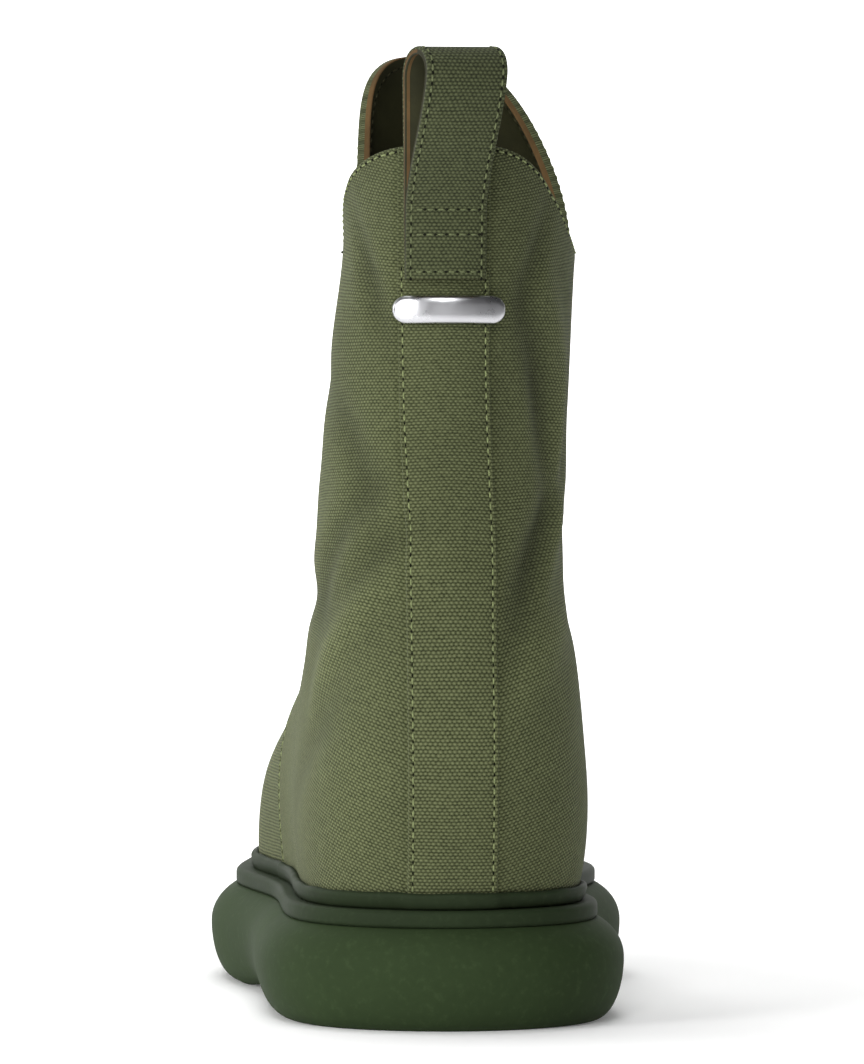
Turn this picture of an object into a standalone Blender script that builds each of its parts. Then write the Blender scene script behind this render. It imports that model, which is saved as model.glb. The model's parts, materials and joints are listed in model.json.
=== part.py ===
"""Platform mid-calf boot for the left foot: canvas upper with a high front, pull loop and thick rounded rubber sole.

Frame: +Y points to the toe, +X to the medial side, +Z up, in metres. The floor is Z = 0.
Stations along the boot are measured from the back of the upper's lower edge, and an empty then
moves the whole boot so that the origin lies on the floor under the middle of its bounding box.
"""

import math

import bmesh
import bpy
import numpy as np

MM = 0.001

# Last and shaft: outer sizes of the upper
UPPER_LENGTH = 266 * MM
BALL_WIDTH = 98 * MM
INSTEP_RISE = 80 * MM
SHAFT_DEPTH = 112 * MM
SHAFT_WIDTH = 66 * MM
BACK_RISE = 216 * MM
FRONT_RISE = 246 * MM
NOTCH_RISE = 188 * MM
SWING = 3.4 * MM
LEAN = 2.0 * MM
TWIST = 12.0 * MM

# Walls and overlays
WALL = 2.8 * MM
QUARTER_STEP = 1.0 * MM
STRIP_STEP = 1.1 * MM
STRIP_WIDTH = 24.4 * MM
STEP_RUN = 0.5 * MM
CLEARANCE = 0.3 * MM

# Sole, from the floor up
OUTSOLE_HEIGHT = 29 * MM
OUTSOLE_BELLY = 17.5 * MM
OUTSOLE_TUCK = 8.0 * MM
MIDSOLE_THICK = 4.7 * MM
MIDSOLE_EDGE = 0.8 * MM
RAND_HEIGHT = 4.5 * MM
RAND_THICK = 2.2 * MM
RAND_EDGE = 0.6 * MM
LEDGE_OVER = 4.6 * MM
BELLY_OVER = 7.7 * MM
INSOLE_THICK = 4.0 * MM
INSOLE_EDGE = 1.0 * MM
TOE_SPRING = 5.0 * MM
ARCH_RISE = 3.0 * MM

# Tread: grooves across the sole's flat spots
GROOVE_WIDTH = 3.0 * MM
GROOVE_DEPTH = 2.0 * MM
GROOVE_SPAN = 74 * MM
HEEL_GROOVES = 4
FOREFOOT_GROOVES = 6

# Pull loop
STRAP_WIDTH = 22.6 * MM
STRAP_THICK = 2.2 * MM
LOOP_FOOT_RISE = 178 * MM
LOOP_SEWN_HEIGHT = 20 * MM
LOOP_FREE_HEIGHT = 45 * MM
LOOP_GAP = 13 * MM
LOOP_SHIFT = -2.6 * MM
LOOP_TWIST = 3.4 * MM

# Blank bar under the loop
BAR_WIDTH = 32 * MM
BAR_HEIGHT = 8 * MM
BAR_THICK = 2.4 * MM
BAR_EDGE = 0.7 * MM
BAR_TIP = 0.2 * MM
BAR_DROP = 8.6 * MM

# Levels that follow from the sizes above
MIDSOLE_BOTTOM = OUTSOLE_HEIGHT + CLEARANCE
MIDSOLE_TOP = MIDSOLE_BOTTOM + MIDSOLE_THICK
FEATHER = MIDSOLE_TOP + CLEARANCE
RAND_OUT = CLEARANCE + RAND_THICK
LEDGE_OUT = RAND_OUT + LEDGE_OVER
BELLY_OUT = LEDGE_OUT + BELLY_OVER

# Sections of the upper, from the lower edge to above the collar, each a ring round the boot.
# leg says how far a ring follows the shaft's sizes instead of the foot's. back and front are where the
# ring meets the heel line and the front line, as shares of length and rise. heel, waist, ball and toe are
# half widths as shares of width, corner is how full the ring's two ends are, swing, lean and twist are
# shares of SWING, LEAN and TWIST, seam is the quarter's front edge as a share of the ring's length, and
# strip is the back strip's centre as a share of LEAN.
RING_COLUMNS = (
    "leg", "back_y", "back_z", "front_y", "front_z",
    "heel", "waist", "ball", "toe", "corner", "swing", "lean", "twist", "seam", "strip",
)
RINGS = (
    (0.00, 0.000, 0.00, 1.000, 0.00, 0.388, 0.378, 0.495, 0.380, 0.72, 1.0, 0.0, 0.00, 0.49, -0.25),
    (0.00, -0.011, 0.15, 1.009, 0.16, 0.408, 0.393, 0.500, 0.388, 0.71, 1.0, 0.2, 0.00, 0.50, -0.25),
    (0.00, -0.019, 0.35, 0.995, 0.38, 0.413, 0.400, 0.482, 0.360, 0.69, 1.0, 0.4, 0.00, 0.52, -0.25),
    (0.00, -0.019, 0.575, 0.935, 0.56, 0.398, 0.392, 0.418, 0.295, 0.68, 0.9, 0.5, 0.02, 0.56, -0.25),
    (0.15, -0.010, 0.66, 0.890, 0.52, 0.397, 0.393, 0.368, 0.250, 0.66, 0.7, 0.4, 0.06, 0.61, -0.25),
    (0.35, 0.005, 0.675, 0.868, 0.465, 0.397, 0.396, 0.357, 0.238, 0.63, 0.5, 0.0, 0.12, 0.65, -0.25),
    (0.60, 0.023, 0.655, 0.904, 0.440, 0.416, 0.429, 0.380, 0.250, 0.60, 0.3, -0.5, 0.20, 0.67, -0.30),
    (0.85, 0.037, 0.645, 1.010, 0.457, 0.439, 0.476, 0.424, 0.290, 0.57, 0.1, -0.5, 0.35, 0.66, -0.70),
    (1.00, 0.036, 0.685, 1.107, 0.533, 0.454, 0.508, 0.456, 0.330, 0.55, 0.0, -0.4, 0.60, 0.61, -1.10),
    (1.00, 0.018, 0.790, 1.040, 0.675, 0.440, 0.500, 0.466, 0.350, 0.55, 0.0, -0.1, 0.85, 0.54, -1.25),
    (1.00, 0.000, 0.898, 0.991, 0.837, 0.408, 0.493, 0.462, 0.322, 0.55, 0.0, 0.0, 1.00, 0.46, -1.30),
    (1.00, -0.018, 1.030, 0.930, 1.045, 0.418, 0.495, 0.440, 0.305, 0.50, 0.0, -0.6, -0.15, 0.43, -1.30),
)

# Stations round a ring, from the heel line over the medial side to the front line.
# turn is the place round the ring, where 0.5 is the front; along is the share of the ring's length;
# swing is how far the ring's middle moves to the medial side there.
STATION_COLUMNS = ("turn", "along", "swing")
STATIONS = {
    "back": (0.0, 0.0, 0.0),
    "back_corner": (0.050, 0.045, 0.0),
    "heel": (0.115, 0.18, 0.0),
    "waist": (0.228, 0.45, -0.35),
    "ball": (0.323, 0.68, 0.95),
    "toe": (0.411, 0.88, 1.0),
    "front_corner": (0.4535, 0.965, 1.0),
    "front": (0.5, 1.0, 1.0),
}

# Collar: two raised-cosine humps that meet at the side notch. A higher power makes a hump narrower,
# and the side value is what the power gains on the medial side and loses on the lateral side.
NOTCH_AT = 0.48
BACK_HUMP_POWER = 1.09
BACK_HUMP_SIDE = 0.65
FRONT_HUMP_POWER = 1.14
FRONT_HUMP_SIDE = 0.10

# Mesh density
STRIP_COLUMNS = 3
QUARTER_COLUMNS = 12
FRONT_COLUMNS = 12
UPPER_ROWS = 31
SOLE_RIBS = 4
ARC_STEPS = 6
LOOP_COLUMNS = 6
BAR_COLUMNS = 14

COLOURS = {
    "canvas": ((0.115, 0.130, 0.062, 1.0), 0.85, 0.0),
    "outsole_rubber": ((0.034, 0.055, 0.029, 1.0), 0.55, 0.0),
    "midsole_rubber": ((0.030, 0.048, 0.026, 1.0), 0.55, 0.0),
    "rand_rubber": ((0.032, 0.046, 0.028, 1.0), 0.6, 0.0),
    "footbed": ((0.060, 0.062, 0.028, 1.0), 0.7, 0.0),
    "polished_steel": ((0.80, 0.80, 0.82, 1.0), 0.08, 1.0),
}


def blend(first, second, share):
    return first + (second - first) * share


def spline_weights(knots, at, period=None):
    """Matrix that turns values at the knots into a smooth cubic curve's values at the given places.

    A natural curve by default, or a closed one where period gives the length of one turn.
    """
    knots = np.asarray(knots, float)
    at = np.asarray(at, float)
    count = len(knots)
    ends = np.append(knots, knots[0] + period) if period else knots
    gaps = np.diff(ends)
    bend = np.zeros((count, count))
    pull = np.zeros((count, count))
    for i in range(count):
        if not period and i in (0, count - 1):
            bend[i, i] = 1.0
            continue
        before, after = gaps[i - 1], gaps[i]
        left, right = (i - 1) % count, (i + 1) % count
        bend[i, left] += before
        bend[i, i] += 2 * (before + after)
        bend[i, right] += after
        pull[i, left] += 6 / before
        pull[i, i] -= 6 / before + 6 / after
        pull[i, right] += 6 / after
    curvature = np.linalg.solve(bend, pull)
    place = (at - knots[0]) % period + knots[0] if period else np.clip(at, knots[0], knots[-1])
    low = np.clip(np.searchsorted(ends, place, side="right") - 1, 0, len(gaps) - 1)
    high = (low + 1) % count
    width = gaps[low]
    b = (place - ends[low]) / width
    a = 1 - b
    weights = np.zeros((len(place), count))
    rows = np.arange(len(place))
    weights[rows, low] += a
    weights[rows, high] += b
    sag_low = ((a**3 - a) * width**2 / 6)[:, None]
    sag_high = ((b**3 - b) * width**2 / 6)[:, None]
    return weights + sag_low * curvature[low] + sag_high * curvature[high]


def ring_sizes():
    """The ring table in metres, as one array for each column."""
    share = {name: np.array([row[i] for row in RINGS]) for i, name in enumerate(RING_COLUMNS)}
    leg = share["leg"]
    length = blend(UPPER_LENGTH, SHAFT_DEPTH, leg)
    width = blend(BALL_WIDTH, SHAFT_WIDTH, leg)
    sizes = {
        "back_y": share["back_y"] * length,
        "front_y": share["front_y"] * length,
        "back_z": FEATHER + share["back_z"] * blend(INSTEP_RISE, BACK_RISE, leg),
        "front_z": FEATHER + share["front_z"] * blend(INSTEP_RISE, FRONT_RISE, leg),
        "swing": share["swing"] * SWING,
        "lean": share["lean"] * LEAN,
        "twist": share["twist"] * TWIST,
        "seam": share["seam"],
        "strip": share["strip"] * LEAN,
    }
    for name in ("heel", "waist", "ball", "toe"):
        sizes[name] = share[name] * width
    sizes["back_corner"] = share["corner"] * sizes["heel"]
    sizes["front_corner"] = share["corner"] * sizes["toe"]
    return sizes


SIZES = ring_sizes()
RING_PLACES = np.arange(len(RINGS), dtype=float)
TOP_RING = RING_PLACES[-1]


def size_at(name, level):
    """A ring column read at any level, where level 0 is the lowest ring and 1 the next."""
    return spline_weights(RING_PLACES, np.atleast_1d(level)) @ SIZES[name]


def station_table():
    """Round-the-ring knots, with each station's share of length, its swing, width column and side."""
    inner = [name for name in STATIONS if name not in ("back", "front")]
    medial = [(STATIONS[n][0], *STATIONS[n][1:], n, 1.0) for n in inner]
    lateral = [(1 - STATIONS[n][0], *STATIONS[n][1:], n, -1.0) for n in reversed(inner)]
    back = (*STATIONS["back"], None, 0.0)
    front = (*STATIONS["front"], None, 0.0)
    return [back, *medial, front, *lateral]


STATION_ROWS = station_table()
TURNS = [row[0] for row in STATION_ROWS]


def round_values(column, turn):
    values = np.array([row[column] for row in STATION_ROWS], float)
    return spline_weights(TURNS, turn, period=1.0) @ values


def last_point(turn, level):
    """Points of the plain outer surface, for arrays of turn and level of one shape."""
    shape = np.shape(turn)
    turn, level = np.ravel(turn), np.ravel(level)
    round_weights = spline_weights(TURNS, turn, period=1.0)
    side_values = np.zeros((len(turn), len(STATION_ROWS)))
    for i, (_, _, _, name, side) in enumerate(STATION_ROWS):
        if name:
            side_values[:, i] = side * size_at(name, level)
    along = round_weights @ np.array([row[1] for row in STATION_ROWS])
    swing = round_weights @ np.array([row[2] for row in STATION_ROWS])
    x = (round_weights * side_values).sum(axis=1)
    x += size_at("lean", level) + swing * size_at("swing", level) + along * size_at("twist", level)
    y = blend(size_at("back_y", level), size_at("front_y", level), along)
    z = blend(size_at("back_z", level), size_at("front_z", level), along)
    return np.stack([x, y, z], axis=-1).reshape(*shape, 3)


def last_normal(turn, level):
    """Outward unit normals of the plain outer surface, from small steps along it."""
    step = 1e-3
    level = np.clip(level, step, TOP_RING - step)
    around = last_point(turn + step, level) - last_point(turn - step, level)
    up = last_point(turn, level + step) - last_point(turn, level - step)
    normal = np.cross(around, up)
    return normal / np.linalg.norm(normal, axis=-1, keepdims=True)


def toe_lift(y):
    """How far the toe spring lifts everything at that station."""
    start = STATIONS["ball"][1] * UPPER_LENGTH
    run = np.clip((y - start) / (UPPER_LENGTH - start), 0, None)
    return TOE_SPRING * run**2


def lifted(points):
    points = np.array(points, float)
    points[..., 2] += toe_lift(points[..., 1])
    return points


def collar_height(turns):
    """Height of the collar's edge at places round the ring: two humps with a notch between."""
    along = round_values(1, turns)
    side = np.sin(2 * math.pi * turns)
    back = np.clip(along / NOTCH_AT, 0, 1)
    front = np.clip((1 - along) / (1 - NOTCH_AT), 0, 1)
    back_hump = (0.5 + 0.5 * np.cos(math.pi * back)) ** (BACK_HUMP_POWER + BACK_HUMP_SIDE * side)
    front_hump = (0.5 + 0.5 * np.cos(math.pi * front)) ** (FRONT_HUMP_POWER + FRONT_HUMP_SIDE * side)
    rise = NOTCH_RISE + (BACK_RISE - NOTCH_RISE) * back_hump + (FRONT_RISE - NOTCH_RISE) * front_hump
    return FEATHER + rise


def turn_at_along(along):
    """The place round the medial half of a ring that lies at a share of its length."""
    turns = np.linspace(0, 0.5, 201)
    return np.interp(along, round_values(1, turns), turns)


def strip_turns(level):
    """Where the back strip's two edges cross the ring at that level."""
    turns = np.linspace(-0.1, 0.1, 81)
    xs = last_point(turns, np.full_like(turns, level))[:, 0]
    centre = size_at("strip", level)[0]
    return np.interp([centre - STRIP_WIDTH / 2, centre + STRIP_WIDTH / 2], xs, turns)


def step_turn(level):
    """The run of an overlay's edge as a share of the ring's way round."""
    length = size_at("front_y", level)[0] - size_at("back_y", level)[0]
    return STEP_RUN / (2 * length)


def column_turns(level):
    """Places round the ring at one level, with a close pair of columns at each overlay edge."""
    lateral_strip, medial_strip = strip_turns(level)
    seam = turn_at_along(size_at("seam", level)[0])
    run = step_turn(level)
    pieces = [
        np.linspace(lateral_strip + run, medial_strip - run, 2 * STRIP_COLUMNS + 1),
        np.linspace(medial_strip + run, seam - run, QUARTER_COLUMNS + 1),
        np.linspace(seam + run, 1 - seam - run, 2 * FRONT_COLUMNS + 1),
        np.linspace(1 - seam + run, 1 + lateral_strip - run, QUARTER_COLUMNS + 1),
    ]
    return np.concatenate(pieces)


def column_steps():
    """How far each column's outside stands proud of the plain surface."""
    strip = QUARTER_STEP + STRIP_STEP
    counts = (2 * STRIP_COLUMNS + 1, QUARTER_COLUMNS + 1, 2 * FRONT_COLUMNS + 1, QUARTER_COLUMNS + 1)
    return np.repeat((strip, QUARTER_STEP, 0.0, QUARTER_STEP), counts)


def level_at_height(turn, height):
    """The level at which the surface reaches a height, for each place round the ring."""
    levels = np.linspace(0, TOP_RING, 221)
    back, front = size_at("back_z", levels), size_at("front_z", levels)
    along = round_values(1, turn)
    return np.array([
        np.interp(h, blend(back, front, a), levels) for h, a in zip(height, along)
    ])


RING_TURNS = np.stack([column_turns(level) for level in RING_PLACES])


def turns_at(levels):
    """Places round the ring of every column, for levels given as rows by columns."""
    weights = spline_weights(RING_PLACES, levels.ravel()).reshape(*levels.shape, -1)
    return (weights * RING_TURNS.T[None, :, :]).sum(axis=-1)


def upper_grid(rows, offsets):
    """Grid of points up the upper, rows by columns, each moved off the plain surface by its column's offset."""
    top = []
    for turns in RING_TURNS.T:
        reach = level_at_height(turns, collar_height(turns))
        top.append(np.interp(0, RING_PLACES - reach, RING_PLACES))
    levels = np.linspace(0, 1, rows + 1)[:, None] * np.array(top)[None, :]
    turns = turns_at(levels)
    normals = last_normal(turns, levels)
    normals[0, :, 2] = 0.0
    normals[0] /= np.linalg.norm(normals[0], axis=-1, keepdims=True)
    return last_point(turns, levels) + normals * np.asarray(offsets)[None, :, None]


def new_object(name, bm, material):
    """Turns a bmesh into a named object with one material, its faces recalculated to point out."""
    bmesh.ops.recalc_face_normals(bm, faces=bm.faces)
    mesh = bpy.data.meshes.new(name)
    bm.to_mesh(mesh)
    bm.free()
    mesh.materials.append(MATERIALS[material])
    mesh.shade_smooth()
    mesh.set_sharp_from_angle(angle=math.radians(35))
    obj = bpy.data.objects.new(name, mesh)
    bpy.context.scene.collection.objects.link(obj)
    obj.parent = BOOT
    return obj


def add_rows(bm, grid):
    """Adds each point of a grid as a vertex, and returns the rows of vertices."""
    return [[bm.verts.new(point) for point in row] for row in grid]


def bridge_rows(bm, lower, upper, closed=True):
    """Faces between two rows of vertices."""
    count = len(lower) if closed else len(lower) - 1
    for i in range(count):
        j = (i + 1) % len(lower)
        bm.faces.new((lower[i], lower[j], upper[j], upper[i]))


def make_upper():
    """One hollow wall: outer skin with the quarter and strip as steps, lining, and the two open rims."""
    steps = column_steps()
    outer = lifted(upper_grid(UPPER_ROWS, steps))
    inner = lifted(upper_grid(UPPER_ROWS, np.full(len(steps), -WALL)))
    bm = bmesh.new()
    outside, inside = add_rows(bm, outer), add_rows(bm, inner)
    for skin in (outside, inside):
        for low, high in zip(skin, skin[1:]):
            bridge_rows(bm, low, high)
    bridge_rows(bm, outside[0], inside[0])
    bridge_rows(bm, outside[-1], inside[-1])
    return new_object("upper", bm, "canvas")


def outline(offset):
    """The upper's lower edge in plan, moved outwards by offset. Column 0 is the heel, half way the toe."""
    turns = np.roll(column_turns(0.0), -STRIP_COLUMNS)
    level = np.zeros_like(turns)
    points = last_point(turns, level)[:, :2]
    ahead = last_point(turns + 1e-3, level)[:, :2]
    behind = last_point(turns - 1e-3, level)[:, :2]
    along = ahead - behind
    along /= np.linalg.norm(along, axis=1, keepdims=True)
    return points + offset * np.stack([along[:, 1], -along[:, 0]], axis=1)


def arch_lift(y):
    """Raises the underside between the heel's and the forefoot's flat spots."""
    middle = STATIONS["waist"][1] * UPPER_LENGTH
    half = 0.13 * UPPER_LENGTH
    share = np.clip(1 - np.abs(y - middle) / half, 0, 1)
    return ARCH_RISE * share**2 * (3 - 2 * share)


def cap_rows(bm, ring, level_of):
    """Closes a ring of vertices with ribs that run from its medial to its lateral side."""
    half = len(ring) // 2
    medial = ring[1:half]
    lateral = [ring[-i] for i in range(1, half)]
    ribs = []
    for m, l in zip(medial, lateral):
        inner = []
        for k in range(1, SOLE_RIBS):
            point = m.co.lerp(l.co, k / SOLE_RIBS)
            point.z = level_of(point.y)
            inner.append(bm.verts.new(point))
        ribs.append([m, *inner, l])
    for first, second in zip(ribs, ribs[1:]):
        bridge_rows(bm, first, second, closed=False)
    for tip, rib in ((ring[0], ribs[0]), (ring[half], ribs[-1])):
        for a, b in zip(rib, rib[1:]):
            bm.faces.new((tip, a, b))


def make_slab(name, material, profile, arched=False):
    """A plate in the shape of the sole. profile lists (offset, height) from its underside up its edge."""
    bm = bmesh.new()
    rings = []
    low, high = profile[0][1], profile[-1][1]
    for offset, height in profile:
        plan = outline(offset)
        z = np.full(len(plan), height)
        if arched:
            z += arch_lift(plan[:, 1]) * (high - height) / (high - low)
        rings.append(lifted(np.column_stack([plan, z])))
    rows = add_rows(bm, rings)
    for lower, upper in zip(rows, rows[1:]):
        bridge_rows(bm, lower, upper)

    def underside(y):
        return low + toe_lift(y) + (arch_lift(y) if arched else 0)

    def topside(y):
        return high + toe_lift(y)

    cap_rows(bm, rows[0], underside)
    cap_rows(bm, rows[-1], topside)
    return new_object(name, bm, material)


def belly_profile():
    """The outsole's side: a quarter ellipse up from the floor, then one that ends under the midsole."""
    profile = []
    for i in range(ARC_STEPS + 1):
        angle = i / ARC_STEPS * math.pi / 2
        out = BELLY_OUT - OUTSOLE_TUCK * (1 - math.sin(angle))
        profile.append((out, OUTSOLE_BELLY * (1 - math.cos(angle))))
    rise = OUTSOLE_HEIGHT - OUTSOLE_BELLY
    shoulder_height = rise * 1.125
    reach = math.asin(rise / shoulder_height)
    shoulder_width = (BELLY_OVER + MIDSOLE_EDGE / 2) / (1 - math.cos(reach))
    for i in range(1, ARC_STEPS + 1):
        angle = i / ARC_STEPS * reach
        out = BELLY_OUT - shoulder_width * (1 - math.cos(angle))
        profile.append((out, OUTSOLE_BELLY + shoulder_height * math.sin(angle)))
    return profile


def make_outsole():
    """Thick rounded sole with a raised arch, and grooves cut across its heel and forefoot."""
    outsole = make_slab("outsole", "outsole_rubber", belly_profile(), arched=True)
    bm = bmesh.new()
    heel = np.linspace(0.06, 0.25, HEEL_GROOVES)
    forefoot = np.linspace(0.60, 0.86, FOREFOOT_GROOVES)
    for share in np.concatenate([heel, forefoot]):
        y = share * UPPER_LENGTH
        top = GROOVE_DEPTH + toe_lift(y)
        box = bmesh.ops.create_cube(bm, size=1.0)["verts"]
        size = (GROOVE_SPAN, GROOVE_WIDTH, top + GROOVE_DEPTH)
        bmesh.ops.scale(bm, vec=size, verts=box)
        bmesh.ops.translate(bm, vec=(0, y, (top - GROOVE_DEPTH) / 2), verts=box)
    cutter = new_object("tread_cutter", bm, "outsole_rubber")
    cutter.hide_render = True
    cutter.display_type = "WIRE"
    cut = outsole.modifiers.new("tread", "BOOLEAN")
    cut.operation = "DIFFERENCE"
    cut.object = cutter
    return outsole


def make_midsole():
    """The flat ledge that the rand and the upper stand on."""
    profile = [
        (LEDGE_OUT - MIDSOLE_EDGE, MIDSOLE_BOTTOM),
        (LEDGE_OUT, MIDSOLE_BOTTOM + MIDSOLE_EDGE),
        (LEDGE_OUT, MIDSOLE_TOP - MIDSOLE_EDGE),
        (LEDGE_OUT - MIDSOLE_EDGE, MIDSOLE_TOP),
    ]
    return make_slab("midsole", "midsole_rubber", profile)


def make_insole():
    """The footbed inside the upper, with its top edge eased."""
    out = -WALL - CLEARANCE
    profile = [
        (out, FEATHER),
        (out, FEATHER + INSOLE_THICK - INSOLE_EDGE),
        (out - INSOLE_EDGE, FEATHER + INSOLE_THICK),
    ]
    return make_slab("insole", "footbed", profile)


def make_rand():
    """The rubber strip round the foot of the upper, which it follows over the overlay edges."""
    steps = column_steps()
    heights = (0, RAND_HEIGHT / 2, RAND_HEIGHT)
    inner = []
    for height in heights:
        level = level_at_height(RING_TURNS[0], np.full(len(steps), FEATHER + height))
        turn = turns_at(level[None, :])[0]
        normal = last_normal(turn, level)
        point = last_point(turn, level)
        flat = normal[:, :2] / np.linalg.norm(normal[:, :2], axis=1, keepdims=True)
        point[:, :2] += flat * (steps + CLEARANCE)[:, None]
        inner.append((point, flat))

    def moved(index, out, up):
        point, flat = inner[index]
        shifted = point.copy()
        shifted[:, :2] += flat * out
        shifted[:, 2] += up
        return lifted(shifted)

    section = [
        moved(0, 0.0, 0.0),
        moved(0, RAND_THICK, 0.0),
        moved(1, RAND_THICK, 0.0),
        moved(2, RAND_THICK, -RAND_EDGE),
        moved(2, RAND_THICK - RAND_EDGE, 0.0),
        moved(2, 0.0, 0.0),
        moved(1, 0.0, 0.0),
    ]
    bm = bmesh.new()
    rows = add_rows(bm, section)
    for low, high in zip(rows, rows[1:] + rows[:1]):
        bridge_rows(bm, low, high)
    return new_object("rand", bm, "rand_rubber")


def back_face(xs, z):
    """How far back the strip's outside lies at each x, at one height."""
    level = np.interp(z, size_at("back_z", RING_PLACES), RING_PLACES)
    turns = np.linspace(-0.12, 0.12, 97)
    levels = np.full_like(turns, level)
    proud = QUARTER_STEP + STRIP_STEP
    points = last_point(turns, levels) + last_normal(turns, levels) * proud
    return np.interp(xs, points[:, 0], points[:, 1])


def loop_outline():
    """The loop in side view: outer edge and hole as matching (back, up) points, measured off the strip.

    back counts away from the boot from the strap's inner face, and up from the strap's sewn end.
    """
    both = 2 * STRAP_THICK
    top = LOOP_SEWN_HEIGHT + LOOP_FREE_HEIGHT
    turn_radius = LOOP_GAP / 2
    belly = top - turn_radius - STRAP_THICK
    steps = ARC_STEPS

    def leg(share):
        """The outer strap's swing away from the inner one, from the seam up to the fold."""
        return LOOP_GAP * math.sin(share * math.pi / 2) ** 1.3

    hole, edge = [], []
    for i in range(steps + 1):
        share = i / steps
        up = LOOP_SEWN_HEIGHT + share * (belly - LOOP_SEWN_HEIGHT)
        hole.append((STRAP_THICK + leg(share), up))
        edge.append((both + leg(share), up))
    for i in range(1, 2 * steps):
        angle = i / (2 * steps) * math.pi
        centre = STRAP_THICK + turn_radius
        hole.append((centre + turn_radius * math.cos(angle), belly + turn_radius * math.sin(angle)))
        outer = turn_radius + STRAP_THICK
        edge.append((centre + outer * math.cos(angle), belly + outer * math.sin(angle)))
    for i in range(steps, 0, -1):
        up = LOOP_SEWN_HEIGHT + i / steps * (belly - LOOP_SEWN_HEIGHT)
        hole.append((STRAP_THICK, up))
        edge.append((0.0, up))
    edge[0] = (both, LOOP_SEWN_HEIGHT)
    edge.append((0.0, LOOP_SEWN_HEIGHT))
    return hole, edge


def make_pull_loop():
    """The strap: sewn flat to the strip at its foot, and open above as a loop for a finger."""
    hole, edge = loop_outline()
    both = 2 * STRAP_THICK
    foot = FEATHER + LOOP_FOOT_RISE
    top = LOOP_SEWN_HEIGHT + LOOP_FREE_HEIGHT
    tail = [(0.0, 0.0), (both, 0.0)]
    tail_middle = [(0.0, LOOP_SEWN_HEIGHT / 2), (both, LOOP_SEWN_HEIGHT / 2)]
    across = np.linspace(-STRAP_WIDTH / 2, STRAP_WIDTH / 2, LOOP_COLUMNS + 1)
    bm = bmesh.new()

    def place(back, up):
        """One profile point at every column: it hugs the boot at the foot and straightens above."""
        share = min(max(up / top, 0.0), 1.0)
        away = min(back / (LOOP_GAP + both), 1.0)
        centre = LOOP_SHIFT + LOOP_TWIST * share * (2 * away - 0.4)
        z = foot + up
        hugging = back_face(across + centre, min(z, FEATHER + BACK_RISE))
        straight = hugging.min()
        release = min(max((up - LOOP_SEWN_HEIGHT) / LOOP_FREE_HEIGHT, 0.0), 1.0)
        y = blend(hugging, straight, release) - CLEARANCE - back
        return [bm.verts.new((x + centre, row_y, z)) for x, row_y in zip(across, y)]

    hole_rows = [place(*p) for p in hole]
    edge_rows = [place(*p) for p in edge]
    tail_rows = [place(*p) for p in tail]
    middle_rows = [place(*p) for p in tail_middle]
    bridge = [(a, b) for a, b in zip(edge_rows, edge_rows[1:])]
    bridge += [(a, b) for a, b in zip(hole_rows, hole_rows[1:] + hole_rows[:1])]
    bridge += [
        (edge_rows[-1], middle_rows[0]),
        (middle_rows[0], tail_rows[0]),
        (tail_rows[0], tail_rows[1]),
        (tail_rows[1], middle_rows[1]),
        (middle_rows[1], edge_rows[0]),
    ]
    for first, second in bridge:
        bridge_rows(bm, first, second, closed=False)
    for side in (0, -1):
        closed_hole = hole_rows + hole_rows[:1]
        for i in range(len(edge_rows) - 1):
            quad = (edge_rows[i], edge_rows[i + 1], closed_hole[i + 1], closed_hole[i])
            bm.faces.new([row[side] for row in quad])
        junction = (edge_rows[0], hole_rows[0], edge_rows[-1], middle_rows[0], middle_rows[1])
        bm.faces.new([row[side] for row in junction])
        bm.faces.new([row[side] for row in (middle_rows[1], middle_rows[0], tail_rows[0], tail_rows[1])])
    return new_object("pull_loop", bm, "canvas")


def make_bar():
    """A plain polished bar across the strip, bowed to the boot, with round ends and eased edges."""
    middle = FEATHER + LOOP_FOOT_RISE - BAR_DROP
    centre = LOOP_SHIFT / 2
    spread = np.sin(np.linspace(-math.pi / 2, math.pi / 2, BAR_COLUMNS + 1))
    across = spread * (BAR_WIDTH / 2 - BAR_TIP)
    end = BAR_WIDTH / 2 - BAR_HEIGHT / 2
    bm = bmesh.new()
    rows = []
    heights = (middle - BAR_HEIGHT / 2, middle, middle + BAR_HEIGHT / 2)
    seat = np.min([back_face(across + centre, z) for z in heights], axis=0) - CLEARANCE
    for x, y in zip(across, seat):
        past = max(abs(x) - end, 0.0)
        half = math.sqrt((BAR_HEIGHT / 2) ** 2 - past**2)
        ease = min(BAR_EDGE, half * 0.4)
        section = (
            (0.0, -half),
            (BAR_THICK - ease, -half),
            (BAR_THICK, -half + ease),
            (BAR_THICK, half - ease),
            (BAR_THICK - ease, half),
            (0.0, half),
        )
        rows.append([bm.verts.new((x + centre, y - back, middle + up)) for back, up in section])
    for first, second in zip(rows, rows[1:]):
        bridge_rows(bm, first, second)
    bm.faces.new(rows[0])
    bm.faces.new(rows[-1])
    return new_object("back_bar", bm, "polished_steel")


def make_material(name):
    colour, roughness, metallic = COLOURS[name]
    material = bpy.data.materials.new(name)
    material.use_nodes = True
    shader = material.node_tree.nodes["Principled BSDF"]
    shader.inputs["Base Color"].default_value = colour
    shader.inputs["Roughness"].default_value = roughness
    shader.inputs["Metallic"].default_value = metallic
    material.diffuse_color = colour
    return material


def centre_on_floor(boot, parts):
    """Moves the boot so that the origin is on the floor, under the middle of its box."""
    corners = np.array([vertex.co[:] for part in parts for vertex in part.data.vertices])
    low, high = corners.min(axis=0), corners.max(axis=0)
    boot.location = (-(low[0] + high[0]) / 2, -(low[1] + high[1]) / 2, 0.0)


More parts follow.
